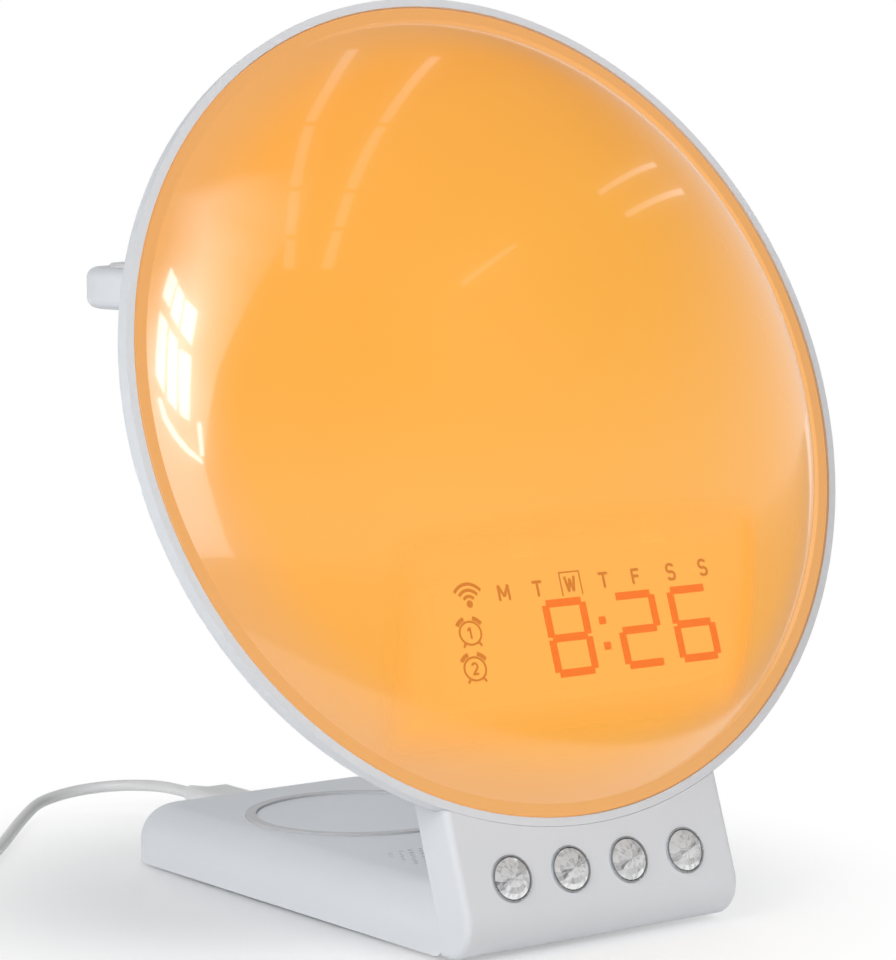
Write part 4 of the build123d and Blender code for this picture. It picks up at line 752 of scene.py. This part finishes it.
rubber = moulded("foot_rubber", (0.075, 0.075, 0.078), 0.8, pimples=1500, depth=0.00006, mottle=0.2)
dress(rubber, "rubber_feet")
dress(moulded("puck_white", (0.78, 0.78, 0.79), 0.22, pimples=900, depth=0.000004), "watch_puck")

# ---------------------------------------------------------------- floor and light
# A pale table that runs out to white, a soft sky that is dimmer overhead, and three broad lamps: in
# front, at the left side and behind.
floor_mesh = bpy.data.meshes.new("floor")
floor_mesh.from_pydata([(-8, -8, 0), (8, -8, 0), (8, 8, 0), (-8, 8, 0)], [], [(0, 1, 2, 3)])
floor = bpy.data.objects.new("floor", floor_mesh)
scene.collection.objects.link(floor)
table_white, nodes, links, table = new_material("table_white")
table.inputs["Base Color"].default_value = (0.965, 0.97, 0.98, 1)
table.inputs["Roughness"].default_value = 0.30
on_table = nodes.new("ShaderNodeTexCoord")
away = nodes.new("ShaderNodeVectorMath")
away.operation = "DISTANCE"
away.inputs[1].default_value = (-0.015, 0.010, 0)
links.new(on_table.outputs["Object"], away.inputs[0])
edge = nodes.new("ShaderNodeMapRange")
edge.interpolation_type = "SMOOTHSTEP"
edge.inputs["From Min"].default_value = 0.02
edge.inputs["From Max"].default_value = 0.14
links.new(away.outputs["Value"], edge.inputs["Value"])
path = nodes.new("ShaderNodeLightPath")
shown = nodes.new("ShaderNodeMath")
shown.operation = "MULTIPLY"
links.new(path.outputs["Is Camera Ray"], shown.inputs[0])
links.new(edge.outputs["Result"], shown.inputs[1])
# polished surfaces meet a bright table up to its front edge, which runs slantwise before the clock
table_slant = 0.45
table_edge = -0.121
along = nodes.new("ShaderNodeVectorMath")
along.operation = "DOT_PRODUCT"
along.inputs[1].default_value = (-table_slant, 1.0, 0)
links.new(on_table.outputs["Object"], along.inputs[0])
near_part = nodes.new("ShaderNodeMapRange")
near_part.inputs["From Min"].default_value = table_edge - 0.004
near_part.inputs["From Max"].default_value = table_edge + 0.004
near_part.inputs["To Max"].default_value = 0.90
links.new(along.outputs["Value"], near_part.inputs["Value"])
far_part = nodes.new("ShaderNodeMapRange")
far_part.inputs["From Min"].default_value = -0.15
far_part.inputs["From Max"].default_value = -1.1
far_part.inputs["To Min"].default_value = 0.22
far_part.inputs["To Max"].default_value = 0.60
links.new(along.outputs["Value"], far_part.inputs["Value"])
mirrored = nodes.new("ShaderNodeMath")
mirrored.operation = "MAXIMUM"
links.new(near_part.outputs["Result"], mirrored.inputs[0])
links.new(far_part.outputs["Result"], mirrored.inputs[1])
shine = nodes.new("ShaderNodeMath")
shine.operation = "MAXIMUM"
links.new(mirrored.outputs[0], shine.inputs[0])
links.new(path.outputs["Is Camera Ray"], shine.inputs[1])
seen = nodes.new("ShaderNodeMath")
seen.operation = "MAXIMUM"
links.new(shown.outputs[0], seen.inputs[0])
links.new(path.outputs["Is Glossy Ray"], seen.inputs[1])
white = nodes.new("ShaderNodeEmission")
links.new(shine.outputs[0], white.inputs["Strength"])
mix = nodes.new("ShaderNodeMixShader")
links.new(seen.outputs[0], mix.inputs["Fac"])
links.new(table.outputs["BSDF"], mix.inputs[1])
links.new(white.outputs["Emission"], mix.inputs[2])
links.new(mix.outputs[0], nodes["Material Output"].inputs["Surface"])
floor_mesh.materials.append(table_white)

world = bpy.data.worlds.new("studio")
scene.world = world
world.use_nodes = True
nodes, links = world.node_tree.nodes, world.node_tree.links
sky = nodes["Background"]
path = nodes.new("ShaderNodeLightPath")
either = nodes.new("ShaderNodeMath")
either.operation = "MAXIMUM"
links.new(path.outputs["Is Camera Ray"], either.inputs[0])
links.new(path.outputs["Is Transmission Ray"], either.inputs[1])
sky_level = nodes.new("ShaderNodeMapRange")
sky_level.inputs["To Min"].default_value = 0.60
sky_level.inputs["To Max"].default_value = 1.0
links.new(either.outputs[0], sky_level.inputs["Value"])
links.new(sky_level.outputs["Result"], sky.inputs["Strength"])
direction = nodes.new("ShaderNodeTexCoord")
heights = nodes.new("ShaderNodeSeparateXYZ")
links.new(direction.outputs["Generated"], heights.inputs["Vector"])
overhead = nodes.new("ShaderNodeMapRange")
overhead.interpolation_type = "SMOOTHSTEP"
overhead.inputs["From Min"].default_value = 0.0
overhead.inputs["From Max"].default_value = 0.60
overhead.inputs["To Min"].default_value = 1.0
overhead.inputs["To Max"].default_value = 0.20
links.new(heights.outputs["Z"], overhead.inputs["Value"])
plain = nodes.new("ShaderNodeMath")
plain.operation = "MAXIMUM"
links.new(overhead.outputs["Result"], plain.inputs[0])
links.new(either.outputs[0], plain.inputs[1])
links.new(plain.outputs[0], sky.inputs["Color"])


lamp_target = Vector((0, 0, 0.08))


def soft_lamp(name, place, size, power):
    """Square studio lamp that looks at the clock and is not met in its polished surfaces."""
    lamp = bpy.data.lights.new(name, "AREA")
    lamp.shape = "RECTANGLE"
    lamp.size = size
    lamp.size_y = size
    lamp.energy = power
    holder = bpy.data.objects.new(name, lamp)
    aim = (lamp_target - Vector(place)).to_track_quat("-Z", "Y")
    holder.matrix_world = Matrix.Translation(place) @ aim.to_matrix().to_4x4()
    holder.visible_glossy = False
    scene.collection.objects.link(holder)


soft_lamp("front_lamp", (0.5, -1.5, 1.3), 1.0, 14.5)
soft_lamp("side_lamp", (-1.4, -0.3, 1.0), 0.8, 15.5)
soft_lamp("back_lamp", (0.9, 1.5, 1.1), 1.0, 13)

# ---------------------------------------------------------------- bright windows round the room
# Panes of light that stand about the lamp and are met only in polished surfaces: two tall slots
# overhead, a window of six panes at the left with its sill, pale wall beside it and small slots.
room_radius = 1.6


def room_points(directions):
    """Points on a sphere about the lamp, from azimuth off the front and elevation in degrees:
    (sin a cos e, -cos a cos e, sin e) times the radius."""
    azimuth, elevation = np.radians(directions[:, 0]), np.radians(directions[:, 1])
    level = np.cos(elevation)
    unit = np.column_stack([np.sin(azimuth) * level, -np.cos(azimuth) * level, np.sin(elevation)])
    return unit * room_radius + np.array(lamp_middle)


slots = (
    # each slot is a run of (azimuth, elevation) for its left edge and its right edge
    ((129.9, 64.5, 127.6, 63.4), (121.4, 77.8, 116.4, 76.7), (56.9, 87.1, 60.0, 85.5)),
    ((34.7, 87.0, 45.5, 85.5), (-20.1, 81.9, -8.4, 81.5), (-30.7, 73.0, -24.4, 72.9)),
    ((-31.0, 72.0, -25.0, 72.0), (-31.9, 68.5, -26.8, 68.4), (-32.9, 61.7, -28.9, 61.7)),
    ((-33.0, 60.8, -29.1, 60.8), (-33.4, 57.7, -29.7, 57.7), (-33.7, 54.2, -30.3, 54.2)),
    ((116.9, 55.9, 116.6, 54.0), (102.9, 67.3, 102.4, 65.6), (69.2, 76.0, 71.0, 74.3)),
    ((64.1, 76.4, 66.4, 74.7), (31.8, 76.7, 37.0, 75.4), (-0.7, 71.0, 4.6, 70.3)),
    ((-2.8, 70.2, 2.4, 69.6), (-8.1, 67.5, -3.3, 67.0), (-14.2, 63.0, -10.0, 62.7)),
    ((-15.2, 62.2, -11.0, 61.9), (-19.2, 57.9, -15.5, 57.7), (-22.0, 54.0, -18.6, 53.8)),
    ((81.0, 41.1, 80.0, 40.6), (108.1, 26.6, 107.2, 26.5)),
    ((81.2, 36.4, 80.5, 35.8), (108.1, 22.6, 107.1, 22.5)),
    ((17.4, 46.4, 17.4, 45.3), (41.4, 48.4, 40.9, 47.7)),
)
panes = (
    # each pane is four corners of (azimuth, elevation): six of glass, then the sill in four lengths
    # and a narrow strip beside it
    (-67.7, 52.0, -64.0, 49.5, -63.4, 43.7, -66.5, 45.9),
    (-63.6, 49.0, -60.6, 46.7, -59.7, 40.3, -62.7, 42.5),
    (-60.0, 46.1, -56.0, 44.0, -55.5, 36.8, -59.0, 39.6),
    (-65.7, 42.9, -62.8, 41.0, -59.6, 26.8, -62.5, 30.7),
    (-61.9, 39.8, -59.1, 37.6, -56.4, 24.0, -58.7, 25.9),
    (-58.3, 36.1, -55.1, 34.8, -53.4, 22.0, -55.7, 23.4),
    (-61.0, 26.0, -60.3, 26.3, -58.2, 22.6, -59.0, 22.0),
    (-59.0, 22.0, -58.2, 22.6, -55.5, 19.3, -56.2, 18.5),
    (-56.2, 18.5, -55.5, 19.3, -52.8, 16.7, -53.3, 15.9),
    (-53.3, 15.9, -52.8, 16.7, -50.0, 14.7, -49.9, 13.8),
    (-51.8, 21.8, -51.0, 22.1, -49.8, 15.5, -50.6, 15.5),
)
wall_rows = (
    # outer edge, middle and sharp inner edge of the pale wall, with the light at the last two; the
    # outer edge is dark
    ((-58, 76), (-28, 77), (-4, 77), 0.0, 0.0),
    ((-84, 66), (-68, 66.5), (-28.4, 64.9), 2.2, 0.5),
    ((-74, 57), (-60, 57.5), (-35.1, 58.1), 3.4, 0.5),
    ((-69, 48), (-58, 48.5), (-41.6, 49.2), 4.4, 0.7),
    ((-70, 39.7), (-58, 40), (-45.7, 40.6), 4.6, 1.6),
    ((-70, 31.5), (-58, 32), (-48.6, 32.3), 4.2, 2.4),
    ((-70, 23.6), (-59, 24), (-49.4, 24.3), 3.6, 3.6),
    ((-69, 14.1), (-58, 14.5), (-50.0, 14.5), 3.4, 3.4),
    ((-67, 0), (-54, 0), (-45, -1), 2.4, 2.4),
    ((-62, -16), (-46, -16), (-36, -16), 0.0, 0.0),
)
slot_light = 1.2
pane_light_level = 13.0
directions, quads, levels = [], [], []
for slot in slots:
    for row in slot:
        directions += [row[:2], row[2:]]
        levels += [slot_light, slot_light]
    first = len(directions) - 2 * len(slot)
    for i in range(first, len(directions) - 2, 2):
        quads.append((i, i + 1, i + 3, i + 2))
for pane in panes:
    first = len(directions)
    directions += [pane[i : i + 2] for i in range(0, 8, 2)]
    levels += [pane_light_level] * 4
    quads.append((first, first + 1, first + 2, first + 3))
first = len(directions)
for outer, middle, inner, middle_light, inner_light in wall_rows:
    directions += [outer, middle, inner]
    levels += [0.0, middle_light, inner_light]
for i in range(len(wall_rows) - 1):
    a = first + 3 * i
    quads += [(a, a + 1, a + 4, a + 3), (a + 1, a + 2, a + 5, a + 4)]

room_mesh = bpy.data.meshes.new("room_windows")
room_mesh.from_pydata([tuple(p) for p in room_points(np.array(directions, dtype=float))], [], quads)
light_level = room_mesh.attributes.new("light", "FLOAT", "POINT")
light_level.data.foreach_set("value", np.array(levels))
room_windows = bpy.data.objects.new("room_windows", room_mesh)
scene.collection.objects.link(room_windows)
room_windows.visible_camera = False
room_windows.visible_diffuse = False
room_windows.visible_transmission = False
room_windows.visible_shadow = False
pane_light, nodes, links, surface = new_material("pane_light")
pane_light.cycles.emission_sampling = "FRONT_BACK"
nodes.remove(surface)
bright = nodes.new("ShaderNodeAttribute")
bright.attribute_name = "light"
lit = nodes.new("ShaderNodeEmission")
lit.inputs["Color"].default_value = (0.70, 0.88, 1.0, 1)
clear = nodes.new("ShaderNodeBsdfTransparent")
both = nodes.new("ShaderNodeAddShader")
links.new(bright.outputs["Fac"], lit.inputs["Strength"])
links.new(lit.outputs["Emission"], both.inputs[0])
links.new(clear.outputs["BSDF"], both.inputs[1])
links.new(both.outputs[0], nodes["Material Output"].inputs["Surface"])
room_mesh.materials.append(pane_light)
